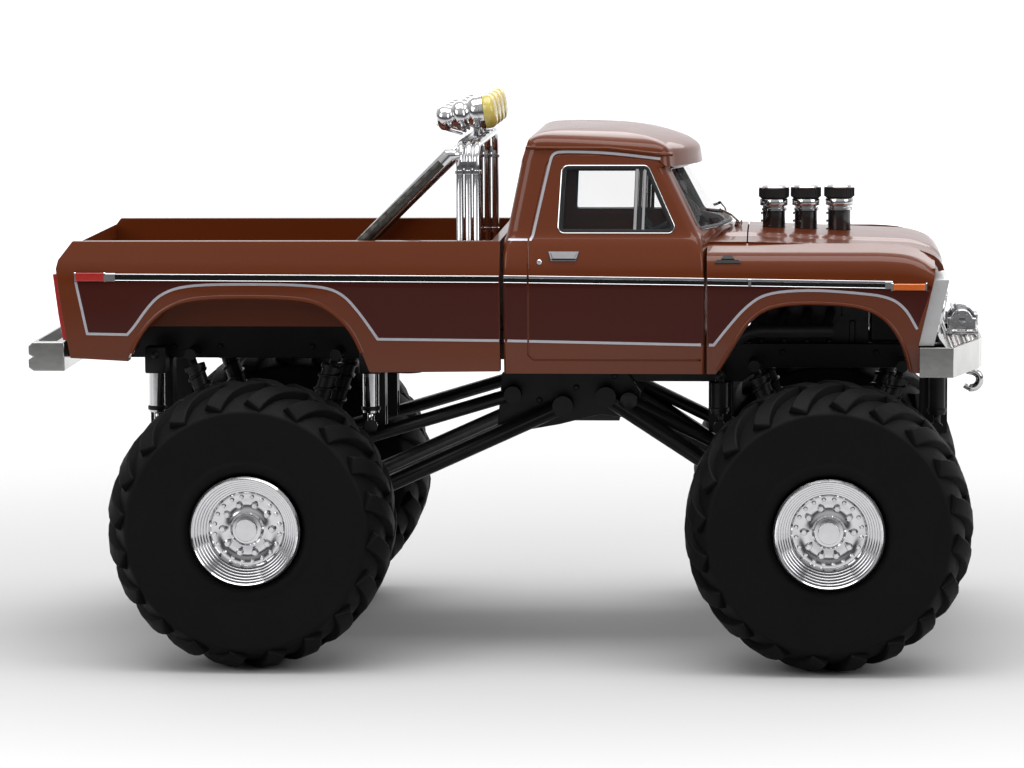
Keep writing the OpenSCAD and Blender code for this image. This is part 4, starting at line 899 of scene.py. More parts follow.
bed_back = station(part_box("cargo_bed")[0])
bm = bmesh.new()
for i in range(-6, 7):
    sweep(bm, [at(bed_back + 3.0, i * 2.4, floor_top), at(bed_front - 2.4, i * 2.4, floor_top)],
          [(-0.75, -0.15), (0.75, -0.15), (0.5, 0.28), (-0.5, 0.28)], upward)
for i in range(-4, 5):
    sweep(bm, [at(bed_front - 1.2, i * 4.2, floor_top + 1.4), at(bed_front - 1.2, i * 4.2, rocker + 16.6)],
          [(-0.9, -0.15), (0.9, -0.15), (0.55, 0.3), (-0.55, 0.3)], Vector((-1, 0, 0)))
tail_x = station(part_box("tailgate")[0])
settle(bm, "bed_ribs", copper_brown, "body_paint", edge=0.1)
bm = bmesh.new()
for k in (1, -1):
    spun(bm, [(0, -1), (0.55, -1), (0.55, 0.25), (0.4, 0.35), (0, 0.35)],
         at(tail_x + 0.9, k * 18.2, rocker + 4.6), (0, k, 0), 20)
settle(bm, "tailgate_hinges", rubber_seal, "chassis_black", weighted=True)


def tail_face(y, h, out=0.0):
    """The tailgate's outer face, at a height above the rocker"""
    return at(along([(2, -65.2), (8, -66.2), (14.4, -67.0), (15.6, -66.7), (18.1, -64.8)], h)[0] - out, y,
              rocker + h)


bm = bmesh.new()
raised(bm, [(-17.5, 6.0), (-17.5, 12.6), (17.5, 12.6), (17.5, 6.0)],
       ((-0.4, 1), (0.0, 1), (0.22, 0.975), (0.22, 0.955), (0.02, 0.94)), tail_face)
settle(bm, "tailgate_panel", copper_brown, "body_paint", edge=0.05)
bm = bmesh.new()
raised(bm, [(-2.2, 13.1), (-2.2, 14.1), (2.2, 14.1), (2.2, 13.1)], ((-0.2, 1), (0.1, 1), (0.25, 0.9)),
       tail_face)
for h in (5.4, 13.2):
    sweep(bm, [tail_face(-19.4, h, -0.05), tail_face(-2.6 if h > 10 else 19.4, h, -0.05)],
          oblong(0.45, 0.22, 0.1, 0.08), Vector((-1, 0, 0)))
    if h > 10:
        sweep(bm, [tail_face(2.6, h, -0.05), tail_face(19.4, h, -0.05)], oblong(0.45, 0.22, 0.1, 0.08),
              Vector((-1, 0, 0)))
settle(bm, "tailgate_trim", chrome, "chrome", sharp=40, weighted=True)

red = translucent("red_lens", (0.42, 0.018, 0.012), (0.30, 0.010, 0.008))
dress("tail_lamps", "tail_lenses", red, "red_lens", edge=0.12)
bm = bmesh.new()
for x in (-64.25, -60.15):
    strip(bm, [(x - 0.1, rocker + 13.3), (x + 0.1, rocker + 13.3)], oblong(1.3, 0.42, 0.2, 0.1))
settle(both(bm), "tail_lamp_frames", chrome, "chrome", sharp=40, weighted=True)

# The front bumper: plated steel, its top a tread plate, with the winch bolted to the deck and
# the tow hook hung under the middle. The drum is wound full with galvanised wire rope.
bumper_plate = surfaced("bumper_plate", (0.40, 0.40, 0.385), (0.52, 0.52, 0.50), (3, 2), (1.2, 3, 0.10, 0.10),
                        (0.9, 1, 0.004), Metallic=1.0)
dress("front_bumper", "front_bumper_shell", bumper_plate, "chrome", edge=0.18, sharp=20)
deck_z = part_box("front_bumper")[1].z / MM
thin = [(0.04, -0.06), (-0.04, -0.06), (-0.04, 0.02), (0.04, 0.02)]
thick = [(0.16, -0.06), (-0.16, -0.06), (-0.06, 0.16), (0.06, 0.16)]
bm = bmesh.new()
for i in range(-30, 31):
    for j in range(9):
        x, y = 52.4 + j * 1.0 + (i % 2) * 0.5, i * 0.8
        edge_x = 60.7 if abs(y) < 9 else 60.1 if abs(y) < 12.5 else 60.1 - (abs(y) - 12.5) * 0.328
        inner = 54.9 if abs(y) < 12 else 55.2
        if abs(y) < 6.9 and 55.4 < x < 60.6 or x > edge_x - 0.6 or x < inner + 0.35:
            continue
        a = math.radians(45 if (i + j) % 2 else -45)
        d = Vector((math.cos(a), math.sin(a), 0)) * 0.36 * MM
        sweep(bm, [at(x, y, deck_z) - d, at(x, y, deck_z), at(x, y, deck_z) + d],
              lambda k: thick if k == 1 else thin, upward)
tread_plate = surfaced("tread_plate", (0.50, 0.47, 0.47), (0.64, 0.60, 0.60), (1.5, 2), (0.8, 2, 0.1, 0.16),
                       (0.4, 1, 0.004), Metallic=1.0)
settle(bm, "bumper_tread_pattern", tread_plate, "chrome")


def heads_round(bm, profile, centre, first, second, r, count, axis, turned=0.0):
    """Bolt heads in a ring, r mm out from centre, in the plane of two directions"""
    first, second = Vector(first), Vector(second)
    for i in range(count):
        a = 2 * math.pi * (i + turned) / count
        spun(bm, profile, centre + (first * math.cos(a) + second * math.sin(a)) * (r * MM), axis, 6)


steel = surfaced("galvanised_steel", (0.14, 0.14, 0.15), (0.30, 0.30, 0.31), (0.8, 3), (0.5, 3, 0.2, 0.3),
                 (0.2, 2, 0.008), Metallic=0.85)
dress("winch", "winch_housings", chrome, "chrome", edge=0.16)
drum = at(58.1, 0, deck_z + 1.93)
bm = bmesh.new()
wraps = [(0.3, -3.95)]
for i in range(13):
    wraps += [(1.12, -3.9 + i * 0.6), (1.3, -3.75 + i * 0.6), (1.36, -3.6 + i * 0.6), (1.3, -3.45 + i * 0.6)]
spun(bm, wraps + [(1.12, 3.9), (0.3, 3.95)], drum, (0, 1, 0), 32)
sweep(bm, [drum + Vector((0, 0.4, 1.3)) * MM, drum + Vector((1.2, 0.4, 1.0)) * MM,
           at(60.5, 0.4, deck_z + 1.6)], round_bar(0.24, 8), to_left)
settle(bm, "winch_rope", steel, "engine_grey")
bm = bmesh.new()
for k in (1, -1):
    cap = drum + Vector((0, k * 5.8, 0)) * MM
    heads_round(bm, [(0, 0), (0.2, 0), (0.16, 0.16), (0, 0.18)], cap, (1, 0, 0), (0, 0, 1), 1.1, 6, (0, k, 0))
    spun(bm, [(0, 0), (0.5, 0), (0.45, 0.3), (0, 0.35)], cap, (0, k, 0), 16)
    for x in (56.3, 59.9):
        spun(bm, [(0, 0), (0.35, 0), (0.35, 0.3), (0.2, 0.36), (0, 0.36)], at(x, k * 6.15, deck_z + 0.5),
             (0, 0, 1), 6)
sweep(bm, [at(56.9, -4.2, deck_z + 3.25), at(56.9, 4.2, deck_z + 3.25)], round_bar(0.26, 10), upward)
block(bm, (59.9, -2.4, deck_z + 0.9), (60.5, 2.4, deck_z + 1.3), 0.1)
block(bm, (59.9, -2.4, deck_z + 2.1), (60.5, 2.4, deck_z + 2.5), 0.1)
for y in (-2.2, 2.2):
    spun(bm, [(0, 0), (0.28, 0), (0.28, 1.4), (0, 1.4)], at(60.2, y, deck_z + 1.0), (0, 0, 1), 14)
settle(bm, "winch_fittings", chrome, "chrome", sharp=40)

hook_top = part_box("tow_hook")[1].z / MM
bm = bmesh.new()
block(bm, (58.3, -1.9, hook_top - 0.55), (60.5, 1.9, hook_top), 0.12)
hook_line = rounded([(59.0, -0.4), (59.0, -1.0), (60.1, -1.15), (60.85, -1.7), (60.9, -2.7), (60.3, -3.45),
                     (59.4, -3.55), (58.7, -3.1)], 5)
tip = len(hook_line) - 4
sweep(bm, [at(x, 0, hook_top + z) for x, z in hook_line],
      lambda i: [(p * 0.56 * (1 if i < tip else 0.75), q * 0.62) for p, q in round_bar(1.0, 14)], to_left)
for y in (-1.3, 1.3):
    spun(bm, [(0, 0), (0.36, 0), (0.36, 0.24), (0.2, 0.3), (0, 0.3)], at(59.4, y, hook_top - 0.55),
         (0, 0, -1), 6)
settle(bm, "tow_hook_forging", chrome, "chrome", stands_for=["tow_hook"], sharp=40)

# The rear bumper: a plated step bumper of two rolled ribs on brackets from the frame, with a
# row of black rubber tread pads on its step.
dress("rear_bumper", "rear_bumper_shell", bumper_plate, "chrome", edge=0.14, sharp=20)
bumper_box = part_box("rear_bumper")
step_x, step_z = station(bumper_box[0]), bumper_box[1].z / MM
bm = bmesh.new()
for i in range(-13, 14):
    block(bm, (step_x + 1.0, i * 1.55 - 0.3, step_z - 0.1), (step_x + 3.6, i * 1.55 + 0.3, step_z + 0.1),
          0.06)
settle(bm, "bumper_step_pads", rubber_seal, "chassis_black", weighted=True)

# The roll bar: three hoops of plated tube, tied together, standing on bolted feet, with stays
# in dark knurled sleeves down to the bed. Its row of driving lamps wears yellow covers.
dress("roll_bar", "roll_bar_tubes", chrome, "chrome", sharp=45)
knurled = Finish("knurled_sleeve", Metallic=0.6)
knurled.feed(Base_Color=knurled.between(knurled.noise(0.5, 3), (0.020, 0.018, 0.016), (0.085, 0.078, 0.070)),
             Roughness=knurled.noise(0.3, 2) * 0.2 + 0.32)
weave = knurled.node("TexWave", {"wave_type": "BANDS", "bands_direction": "DIAGONAL"},
                     {"Vector": knurled.place(), "Scale": 260.0, "Distortion": 2.0})
knurled.bump(weave, 0.12)
bm = bmesh.new()
stay_top, stay_foot = at(-12.8, 18.9, rocker + 29.8), at(-31.2, 18.9, rocker + 11.6)
sweep(bm, [stay_top.lerp(stay_foot, t) for t in (0.06, 0.5, 0.95)], round_bar(0.83, 24), to_left)
settle(both(bm), "stay_sleeves", knurled, "chassis_black", sharp=50)
bar_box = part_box("roll_bar")
foot_z, bar_top = bar_box[0].z / MM, bar_box[1].z / MM
bm = bmesh.new()
for k in (1, -1):
    for x in (-12.0, -10.8, -9.7, -8.5):
        for y in (18.2, 19.6):
            spun(bm, [(0, 0), (0.24, 0), (0.24, 0.2), (0.14, 0.26), (0, 0.26)], at(x, k * y, foot_z + 0.5),
                 (0, 0, 1), 6)
    for x in (-11.4, -10.25, -9.1):
        for z in (foot_z + 0.5, foot_z + 9.2, bar_top - 4.6):
            spun(bm, [(0.5, 0), (0.72, 0.1), (0.72, 0.5), (0.5, 0.6)], at(x, k * 18.9, z), (0, 0, 1), 20)
settle(bm, "roll_bar_bolts", chrome, "chrome", sharp=40)
pods, brackets, covers = bmesh.new(), bmesh.new(), bmesh.new()
tilt = math.radians(81)
shine = Vector((math.sin(tilt), 0, math.cos(tilt)))
for y in (-10.5, -3.5, 3.5, 10.5):
    root = at(-15.2, y, rocker + 34.3)
    spun(pods, [(0, 0), (0.9, 0.02), (1.3, 0.18), (1.62, 0.5), (1.75, 0.9), (1.75, 1.4), (1.6, 1.72),
                (1.42, 1.95), (1.42, 2.2), (1.6, 2.5), (1.95, 2.72), (2.1, 3.0), (2.1, 3.75), (1.95, 4.02),
                (1.75, 4.22), (1.75, 4.48), (1.95, 4.75), (2.2, 5.0), (2.35, 5.35), (2.35, 5.9), (2.27, 5.95),
                (2.27, 6.1), (2.35, 6.15), (2.35, 6.7), (0, 6.7)], root, shine, 40)
    spun(covers, [(0, 6.72), (2.3, 6.72), (2.4, 6.82), (2.4, 7.55), (2.3, 7.85), (2.05, 8.15), (1.6, 8.34),
                  (1.2, 8.42), (1.1, 8.36), (0.7, 8.46), (0, 8.5)], root, shine, 40)
    block(pods, (-10.1, y - 0.55, bar_top + 0.25), (-9.25, y + 0.55, bar_top + 2.4), 0.12)
    for k in (-1, 1):
        spun(brackets, [(0, 0), (0.34, 0), (0.34, 0.22), (0, 0.3)], at(-9.7, y + k * 0.55, bar_top + 1.3),
             (0, k, 0), 6)
    sweep(brackets, [root + Vector((0, 0, -0.6)) * MM, at(-14.2, y, bar_top + 1.2),
                     at(-11.6, y, bar_top + 0.45)], round_bar(0.2, 8), to_left)
settle(pods, "lamp_buckets", chrome, "chrome", stands_for=["lamp_pods"], sharp=42)
settle(brackets, "lamp_bracket_bolts", chrome, "chrome", sharp=40)
yellow = translucent("yellow_cover", (0.62, 0.50, 0.12), (0.52, 0.41, 0.08))
settle(covers, "lamp_cover_caps", yellow, "yellow_cover", stands_for=["lamp_covers"], sharp=50)

# The side panels: a dark maroon printed over the brown below the moulding, with a silver-white
# pinstripe round it. Both are pad-printed films, a few hundredths thick, broken at the seams.
maroon = paint("maroon_print", (0.054, 0.0100, 0.0068), (0.046, 0.0082, 0.0055), 0.14)
silver_white = surfaced("silver_print", (0.40, 0.39, 0.42), (0.50, 0.49, 0.53), (1.2, 3), (0.5, 2, 0.2, 0.28),
                        (0.25, 1, 0.004), Metallic=0.55, Specular_IOR_Level=0.5)

seams = [(bed_front - 0.1, cab_back + 0.1), (-1.93, -1.67), (22.28, 22.75)]


def split(bm, place, way):
    """Adds edges where a plane meets a shape"""
    bmesh.ops.bisect_plane(bm, geom=bm.verts[:] + bm.edges[:] + bm.faces[:], plane_co=place, plane_no=way)


def drop_between(bm, lo, hi):
    """Takes away the faces between two stations"""
    gone = [f for f in bm.faces if at(lo, 0, 0).x < f.calc_center_median().x < at(hi, 0, 0).x]
    bmesh.ops.delete(bm, geom=gone, context="FACES")


def break_at_seams(bm):
    """Opens gaps in a printed film or a moulding where the body's panels part"""
    for lo, hi in seams:
        for x in (lo, hi):
            split(bm, at(x, 0, 0), (1, 0, 0))
        drop_between(bm, lo, hi)
    bmesh.ops.holes_fill(bm, edges=[e for e in bm.edges if e.is_boundary])
    return bm


lower_stripe = [(-64.2, 12.6), (-62.75, 5.4)]
lower_stripe += rounded([(-57.2, 5.3), (-56.2, 6.4), (-54.3, 9.1), (-52.4, 11.0), (-48.9, 12.2),
                         (-40.1, 12.35), (-31.2, 12.2), (-27.5, 11.3), (-24.9, 8.3), (-22.5, 4.75)])
lower_stripe += [(-5.7, 4.6), (20.6, 4.1)]
lower_stripe += rounded([(23.6, 4.05), (25.6, 6.6), (28.0, 9.4), (30.8, 11.3), (36.7, 11.7), (42.4, 11.35),
                         (47.4, 10.8), (49.7, 9.2), (51.3, 6.3)])
lower_stripe = [(x, rocker + h) for x, h in lower_stripe]
edge_front = (53.2, rocker + 11.9)
moulding_low = rocker + 12.85
film_proud, film_thick = 0.02, 0.05
bm = bmesh.new()
outline = lower_stripe + [edge_front, (53.25, moulding_low - 0.6), (47.9, moulding_low - 0.25),
                          (-58.9, moulding_low)]
film = bm.faces.new([bm.verts.new(at(x, 0, z)) for x, z in outline])
film.normal_update()
bmesh.ops.triangulate(bm, faces=bm.faces[:])
for h in (4, 12):
    split(bm, at(0, 0, rocker + h), (0, 0, 1))
for x in (bed_front - 0.1, cab_back + 0.1, cab_back + 0.2, cab_back + 0.33, cab_back + 0.6, -1.93, -1.67,
          21.8, 22.05, 22.18, 22.28, 22.75):
    split(bm, at(x, 0, 0), (1, 0, 0))
for lo, hi in seams:
    drop_between(bm, lo, hi)
for v in bm.verts:
    x, z = station(v.co), v.co.z / MM
    v.co.y = on_side(x, z)[0].y + film_proud * MM
grown = bmesh.ops.extrude_face_region(bm, geom=bm.faces[:])["geom"]
inner = [g for g in grown if isinstance(g, bmesh.types.BMVert)]
bmesh.ops.translate(bm, vec=(0, -film_thick * MM, 0), verts=inner)
settle(both(bm), "side_panels", maroon, "body_paint")

bm = bmesh.new()
for path in (lower_stripe,
             [(bed_front + 0.6, rocker + 18.35), (-1.5, rocker + 18.35),
              *rounded([(-1.2, rocker + 18.9), (0.9, rocker + 28.4), (1.4, rocker + 30.1),
                        (3.2, rocker + 30.25), (9, rocker + 30.1), (16.2, rocker + 29.25)])]):
    points, normals = laid(path, 0.6)
    sweep(bm, points, oblong(0.36, 0.06, 0.05), normals)
settle(both(break_at_seams(clean(bm))), "pinstripes", silver_white, "silver_paint")

# The side mouldings: a black strip between two bright edges, clipped along the body's widest
# line, with a bright end where each lamp begins.
gloss_black = surfaced("gloss_black_plastic", (0.003, 0.003, 0.0032), (0.006, 0.006, 0.0065), (2, 2),
                       (0.8, 2, 0.15, 0.22), (0.35, 1, 0.004), Specular_IOR_Level=0.2)

strip_line = [(-58.8, rocker + 13.25), (bed_front, rocker + 13.05), (20, rocker + 12.75),
              (47.9, rocker + 12.35)]
strips, edges = bmesh.new(), bmesh.new()
# piece of the line, then the offset and the width of the strip, its upper edge and its lower edge
for line, parts in ((strip_line[:2], ((0, 0.70), (0.43, 0.13), (-0.41, 0.10))),
                    (strip_line[1:], ((-0.08, 0.56), (0.38, 0.38), (-0.41, 0.10)))):
    for (dz, wide), kind in zip(parts, (strips, edges, edges)):
        section = oblong(wide, 0.22, 0.1) if kind is strips else oblong(wide, 0.32, 0.1, 0.04)
        strip(kind, [(x, z + dz) for x, z in line], section, 1.5)
settle(both(break_at_seams(clean(strips))), "side_moulding_black", gloss_black, "chassis_black",
       weighted=True)
break_at_seams(clean(edges))
for x0, x1, z in ((-60.2, -58.7, 13.27), (46.9, 47.9, 12.35), (28.3, 28.7, 12.65)):
    strip(edges, [(x0, rocker + z), (x1, rocker + z)], oblong(1.12, 0.4, 0.1, 0.1))
settle(both(edges), "side_moulding_edges", chrome, "chrome", weighted=True)

# The engine: a grey block, its grey darkened by painted shade, with plated valve covers, four-port
# header flanges and their pipes, and three tall intake stacks through the hood: plated tubes coloured
# dark as a painted reflection, in bright collars, each clamped under a pleated black filter.
# The castings' grey, darkened nearly to black: painted shade of the engine bay and the underside.
grey_darkened_as_shade = surfaced("engine_grey", (0.012, 0.012, 0.014), (0.034, 0.034, 0.038), (1.5, 3),
                      (0.6, 3, 0.2, 0.4), (0.2, 2, 0.01), Metallic=0.4)
block_lo, block_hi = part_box("engine_block")
x0, x1, side_y, block_top = station(block_lo), station(block_hi), block_hi.y / MM, block_hi.z / MM
bm = cast("engine_block")
for k in (1, -1):
    for i in range(5):
        block(bm, (x0 + 1 + i * 3.2, k * side_y - 0.35, rocker + 1.5),
              (x0 + 1.8 + i * 3.2, k * side_y + 0.35, rocker + 6.0), 0.1)
settle(bm, "engine_casting", grey_darkened_as_shade, "engine_grey", stands_for=["engine_block"], edge=0.3)
bm = bmesh.new()
for k in (1, -1):
    corners = [(x0 + 0.9, 3.3), (x1 - 0.9, 3.3), (x1 - 0.9, 6.9), (x0 + 0.9, 6.9)]
    stack(bm, [[at(x, k * y, z) for x, y in corners] for z in (block_top - 0.1, block_top + 1.0)])
    for i in range(7):
        block(bm, (x0 + 2 + i * 1.9, k * 5.1 - 1.5, block_top + 0.9),
              (x0 + 2.7 + i * 1.9, k * 5.1 + 1.5, block_top + 1.25), 0.08)
block(bm, (x0 + 1.4, -2.4, block_top - 0.1), (x1 - 1.6, 2.4, block_top + 0.5), 0.15)
settle(bm, "valve_covers", chrome, "chrome", edge=0.18)
# The header pipes take the darkened grey too: painted shade.
dress("exhaust_headers", "header_pipes", grey_darkened_as_shade, "chrome", sharp=50)
# The ports are black discs on the flanges' faces: painted shade where the pipes open.
flange, port_shades = bmesh.new(), bmesh.new()
port_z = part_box("exhaust_headers")[1].z / MM - 0.7
for k in (1, -1):
    block(flange, (28.7, min(k * side_y, k * (side_y + 0.45)), port_z - 1.3),
          (41.2, max(k * side_y, k * (side_y + 0.45)), port_z + 1.5), 0.12)
    for i in range(4):
        spun(port_shades, [(0, 0), (0.98, 0), (0.98, 0.16), (0.8, 0.2), (0, 0.2)],
             at(30 + i * 3.2, k * (side_y + 0.42), port_z + 0.1), (0, k, 0), 24)
        spun(flange, [(0, 0), (0.26, 0), (0.26, 0.3), (0, 0.32)],
             at(31.6 + i * 3.2, k * (side_y + 0.42), port_z - 0.7), (0, k, 0), 6)
        spun(flange, [(0, 0), (0.2, 0), (0.2, 0.8), (0.32, 0.85), (0.32, 1.5), (0.14, 1.6), (0, 1.6)],
             at(30 + i * 3.2, k * side_y, port_z - 3.9), (0, k, -0.15), 12)
settle(flange, "header_flanges", grey_darkened_as_shade, "engine_grey", sharp=40, weighted=True)
settle(port_shades, "header_port_shades", rubber_seal, "chassis_black", sharp=40, weighted=True)

stack_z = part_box("intake_stacks")[0].z / MM
collars, barrels, filters = bmesh.new(), bmesh.new(), bmesh.new()
for x, rise in zip(stack_x, (0.0, 0.1, 0.2)):
    foot, top = at(x, 0, stack_z), 9.9 + rise / 2
    spun(barrels, [(0, 0.7), (1.5, 0.7), (1.6, 0.85), (1.6, top - 1.6), (0, top - 1.6)], foot, (0, 0, 1), 40)
    spun(collars, [(0, 0), (2.0, 0), (2.05, 0.1), (2.05, 0.6), (1.95, 0.75), (0, 0.8)], foot, (0, 0, 1), 40)
    spun(collars, [(0, top - 1.75), (1.6, top - 1.75), (1.75, top - 1.65), (1.75, top - 1.35),
                   (1.6, top - 1.3), (1.6, top - 1.05), (1.95, top - 0.95), (2.0, top - 0.85),
                   (2.0, top - 0.15), (1.9, top - 0.02), (0, top - 0.02)], foot, (0, 0, 1), 40)
    heads_round(collars, [(0, 0), (0.2, 0), (0.2, 0.16), (0, 0.2)], foot + Vector((0, 0, 0.74)) * MM,
                (1, 0, 0), (0, 1, 0), 1.76, 6, (0, 0, 1), 0.5)
    for i in range(4):
        block(collars, (x - 1.85, -0.2, stack_z + 4.4 + i * 1.1), (x - 1.35, 0.2, stack_z + 4.75 + i * 1.1),
              0.05)
    block(collars, (x + 1.5, -0.35, stack_z + top - 1.72), (x + 1.78, 0.35, stack_z + top - 1.28), 0.06)
    base = foot + Vector((0, 0, top + 0.02)) * MM
    spun(filters, [(0, 0), (1.8, 0), (1.95, 0.12), (1.95, 0.2), (2.08, 0.22), (2.08, 1.42), (1.95, 1.44),
                   (0, 1.44)], base, (0, 0, 1), 40)
    for i in range(36):
        a = 2 * math.pi * i / 36
        out = Vector((math.cos(a), math.sin(a), 0))
        sweep(filters, [base + out * 2.06 * MM + Vector((0, 0, 0.24 * MM)),
                        base + out * 2.06 * MM + Vector((0, 0, 1.4 * MM))],
              [(-0.07, -0.08), (0.07, -0.08), (0.03, 0.09), (-0.03, 0.09)], out)
    spun(collars, [(0, 1.43), (2.12, 1.43), (2.18, 1.5), (2.18, 1.62), (2.0, 1.78), (0.5, 1.86), (0.42, 1.9),
                   (0, 1.9)], base, (0, 0, 1), 40)
settle(collars, "intake_stack_collars", chrome, "chrome", stands_for=["intake_stacks"], sharp=38)
# The stacks' tubes are plated; their dark colour is a painted reflection.
dark_reflection_plate = surfaced("dark_reflection_plate", (0.06, 0.06, 0.062), (0.09, 0.09, 0.093), (2, 2), (0.7, 2, 0.1, 0.1),
                        (0.4, 1, 0.003), Metallic=0.9)
settle(barrels, "intake_stack_tubes", dark_reflection_plate, "chrome", stands_for=["intake_stacks"], sharp=38)
settle(filters, "air_filter_pleats", matt_black, "interior_black", stands_for=["air_filters"], sharp=38)

# The frame: two black rails with crossmembers between, bracket plates for the traction bars,
# and the transfer case hung in the middle. Bolt heads stand along the rails.
for node in ("frame_rails", "crossmembers", "bar_brackets", "spring_hangers"):
    dress(node, node + "_casting", semi_black, "chassis_black", edge=0.16)
bm = cast("transfer_case")
case_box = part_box("transfer_case")
case_x0, case_y, case_z0 = station(case_box[0]), case_box[1].y / MM, case_box[0].z / MM
for i in range(5):
    block(bm, (case_x0 + 2.2 + i * 2.2, -case_y - 0.25, case_z0 + 0.8),
          (case_x0 + 2.8 + i * 2.2, case_y + 0.25, case_z0 + 5.6), 0.08)
settle(bm, "transfer_case_casting", grey_darkened_as_shade, "engine_grey", stands_for=["transfer_case"], edge=0.25)
bm = bmesh.new()
rail_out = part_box("frame_rails")[1].y / MM
hex_head = [(0, 0), (0.42, 0), (0.42, 0.3), (0.3, 0.42), (0, 0.42)]
for k in (1, -1):
    for x in (-62, -58, -52.5, -46, -33, -26.5, -20.5, -14, -9, 14.6, 18, 33, 46, 50.5, 54.5):
        z = rocker + 2.4 if x < -5 else rocker + (1.4 if x < 30 else 1.8)
        spun(bm, hex_head, at(x, k * rail_out, z), (0, k, 0), 6)
    for x, z in ((-4.6, 35.8), (-1, 34.4), (4.2, 36.2), (9.6, 37.8)):
        spun(bm, hex_head, at(x, k * (rail_out + 0.8), z), (0, k, 0), 6)
settle(bm, "frame_bolts", semi_black, "chassis_black", sharp=30)

# The springs: a pack of black leaves at each corner, clamped by U-bolts, an upright shock
# outboard of each eye, black in front and plated behind, and two coil-over dampers to a wheel.
dress("leaf_springs", "leaf_packs", semi_black, "chassis_black", edge=0.08, sharp=40)
for name, finish, slot, end in (("front_shock_bodies", semi_black, "chassis_black", 1),
                                ("rear_shock_bodies", chrome, "chrome", -1)):
    bm = cast("shock_absorbers")
    bmesh.ops.delete(bm, geom=[v for v in bm.verts if (v.co.x - mid_x) * end < 0], context="VERTS")
    settle(bm, name, finish, slot, stands_for=["shock_absorbers"], sharp=45)
dress("coil_dampers", "damper_bodies", semi_black, "chassis_black", sharp=45)
rail_bottom, rail_deep, rail_wide, leaf_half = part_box("frame_rails")[0].z / MM, 5.4, 2.4, 15
rail_y, axle_z, frame_top = rail_out - rail_wide / 2, tyre_r, rail_bottom + rail_deep
tube_r, pad, pack_high, eye_rise = 2.3, 0.1, 2.6, 6.6
eye_z = axle_z + tube_r + pad + pack_high + eye_rise
bolts, springs, boots = bmesh.new(), bmesh.new(), bmesh.new()
for x in (-axle_x, axle_x):
    for k in (1, -1):
        for s in (1, -1):
            for y in (rail_y - 1.55, rail_y + 1.55):
                spun(bolts, [(0, 0), (0.24, 0), (0.24, 3.6), (0.45, 3.6), (0.45, 4.1), (0.24, 4.15),
                             (0.22, 4.7), (0, 4.75)], at(x + s * 1.7, k * y, axle_z + 1.2), (0, 0, 1), 10)
            block(bolts, (x + s * 6.2 - 0.35, k * rail_y - 1.25, eye_z - 6.3),
                  (x + s * 6.2 + 0.35, k * rail_y + 1.25, eye_z - 4.3), 0.08)
            foot = at(x + s * 4.4, k * (half_w - 7.7), axle_z + 4.6)
            head = at(x + s * 10.2, k * (half_w - 7.7), frame_top - 2.6 if x > 0 else rocker + 1.8)
            way = (head - foot).normalized()
            turns, to_a_turn = 7, 12
            count = turns * to_a_turn
            start, end = foot + way * 2.3 * MM, head - way * 2.3 * MM
            side = way.orthogonal().normalized()
            third = way.cross(side)
            core = [start.lerp(end, i / count) for i in range(count + 1)]
            angles = [2 * math.pi * i / to_a_turn for i in range(count + 1)]
            coil = [p + (side * math.cos(a) + third * math.sin(a)) * 1.38 * MM for p, a in zip(core, angles)]
            sweep(springs, coil, round_bar(0.2, 6), [(p - q).normalized() for p, q in zip(coil, core)])
            top = rocker + 1.8 if x < 0 else rail_bottom + 1.4 if s < 0 else frame_top - 2.2
            sx = x + s * leaf_half
            spun(boots, [(1.16, 0), (1.28, 0), (1.34, 0.15), (1.34, 0.5), (1.16, 0.6)],
                 at(sx, k * (half_w - 8.2), eye_z + 2.3), (0, 0, 1), 24)
            spun(boots, [(0, 0), (0.52, 0), (0.52, 0.35), (0.3, 0.5), (0, 0.5)],
                 at(sx, k * (half_w - 6.6 if x < 0 else half_w - 7.6), top), (0, k, 0), 16)
            if x < 0:
                y0, y1 = sorted((k * (half_w - 10), k * (half_w - 6.6)))
                block(boots, (sx - 1.5, y0, top - 2.6), (sx + 1.5, y1, top + 1.1), 0.25)
settle(bolts, "spring_bolts", steel, "engine_grey", sharp=40)
settle(springs, "damper_coils", semi_black, "chassis_black")
settle(boots, "shock_brackets", semi_black, "chassis_black", sharp=40)

# The drive: black traction bars with bolted ends, two propshafts with yokes at their joints,
# and the axles, each with a bolted cover, flanged ends, and the tie rod in front.
dress("traction_bars", "traction_bar_tubes", semi_black, "chassis_black", sharp=45)
dark_steel = surfaced("dark_steel", (0.035, 0.035, 0.037), (0.075, 0.075, 0.078), (1.2, 3),
                      (0.5, 3, 0.2, 0.3), (0.25, 2, 0.008), Metallic=0.7)
dress("driveshafts", "propshafts", dark_steel, "engine_grey", edge=0.1, sharp=45)
dress("front_axle", "front_axle_casting", semi_black, "chassis_black", edge=0.1, sharp=40)
dress("rear_axle", "rear_axle_casting", semi_black, "chassis_black", edge=0.1, sharp=40)
dress("axle_pins", "axle_pin_heads", chrome, "chrome", edge=0.1)
dress("tie_rod", "tie_rod_bar", steel, "chrome", edge=0.08)
bm = bmesh.new()
for x, s in ((-axle_x, -1), (axle_x, 1)):
    centre = at(x, 0, axle_z)
    spun(bm, [(0, 3.3), (3.5, 3.3), (3.5, 3.8), (2.6, 4.3), (1.3, 4.75), (0, 4.9)], centre, (s, 0, 0), 32)
    heads_round(bm, [(0, 0), (0.26, 0), (0.26, 0.22), (0, 0.26)], centre + Vector((s * 3.75, 0, 0)) * MM,
                (0, 1, 0), (0, 0, 1), 3.05, 10, (s, 0, 0))
    for k in (1, -1):
        heads_round(bm, [(0, 0), (0.28, 0), (0.28, 0.3), (0, 0.32)], centre + Vector((0, k * 17.1, 0)) * MM,
                    (1, 0, 0), (0, 0, 1), 2.9, 8, (0, -k, 0))
settle(bm, "axle_covers", semi_black, "chassis_black", sharp=35)

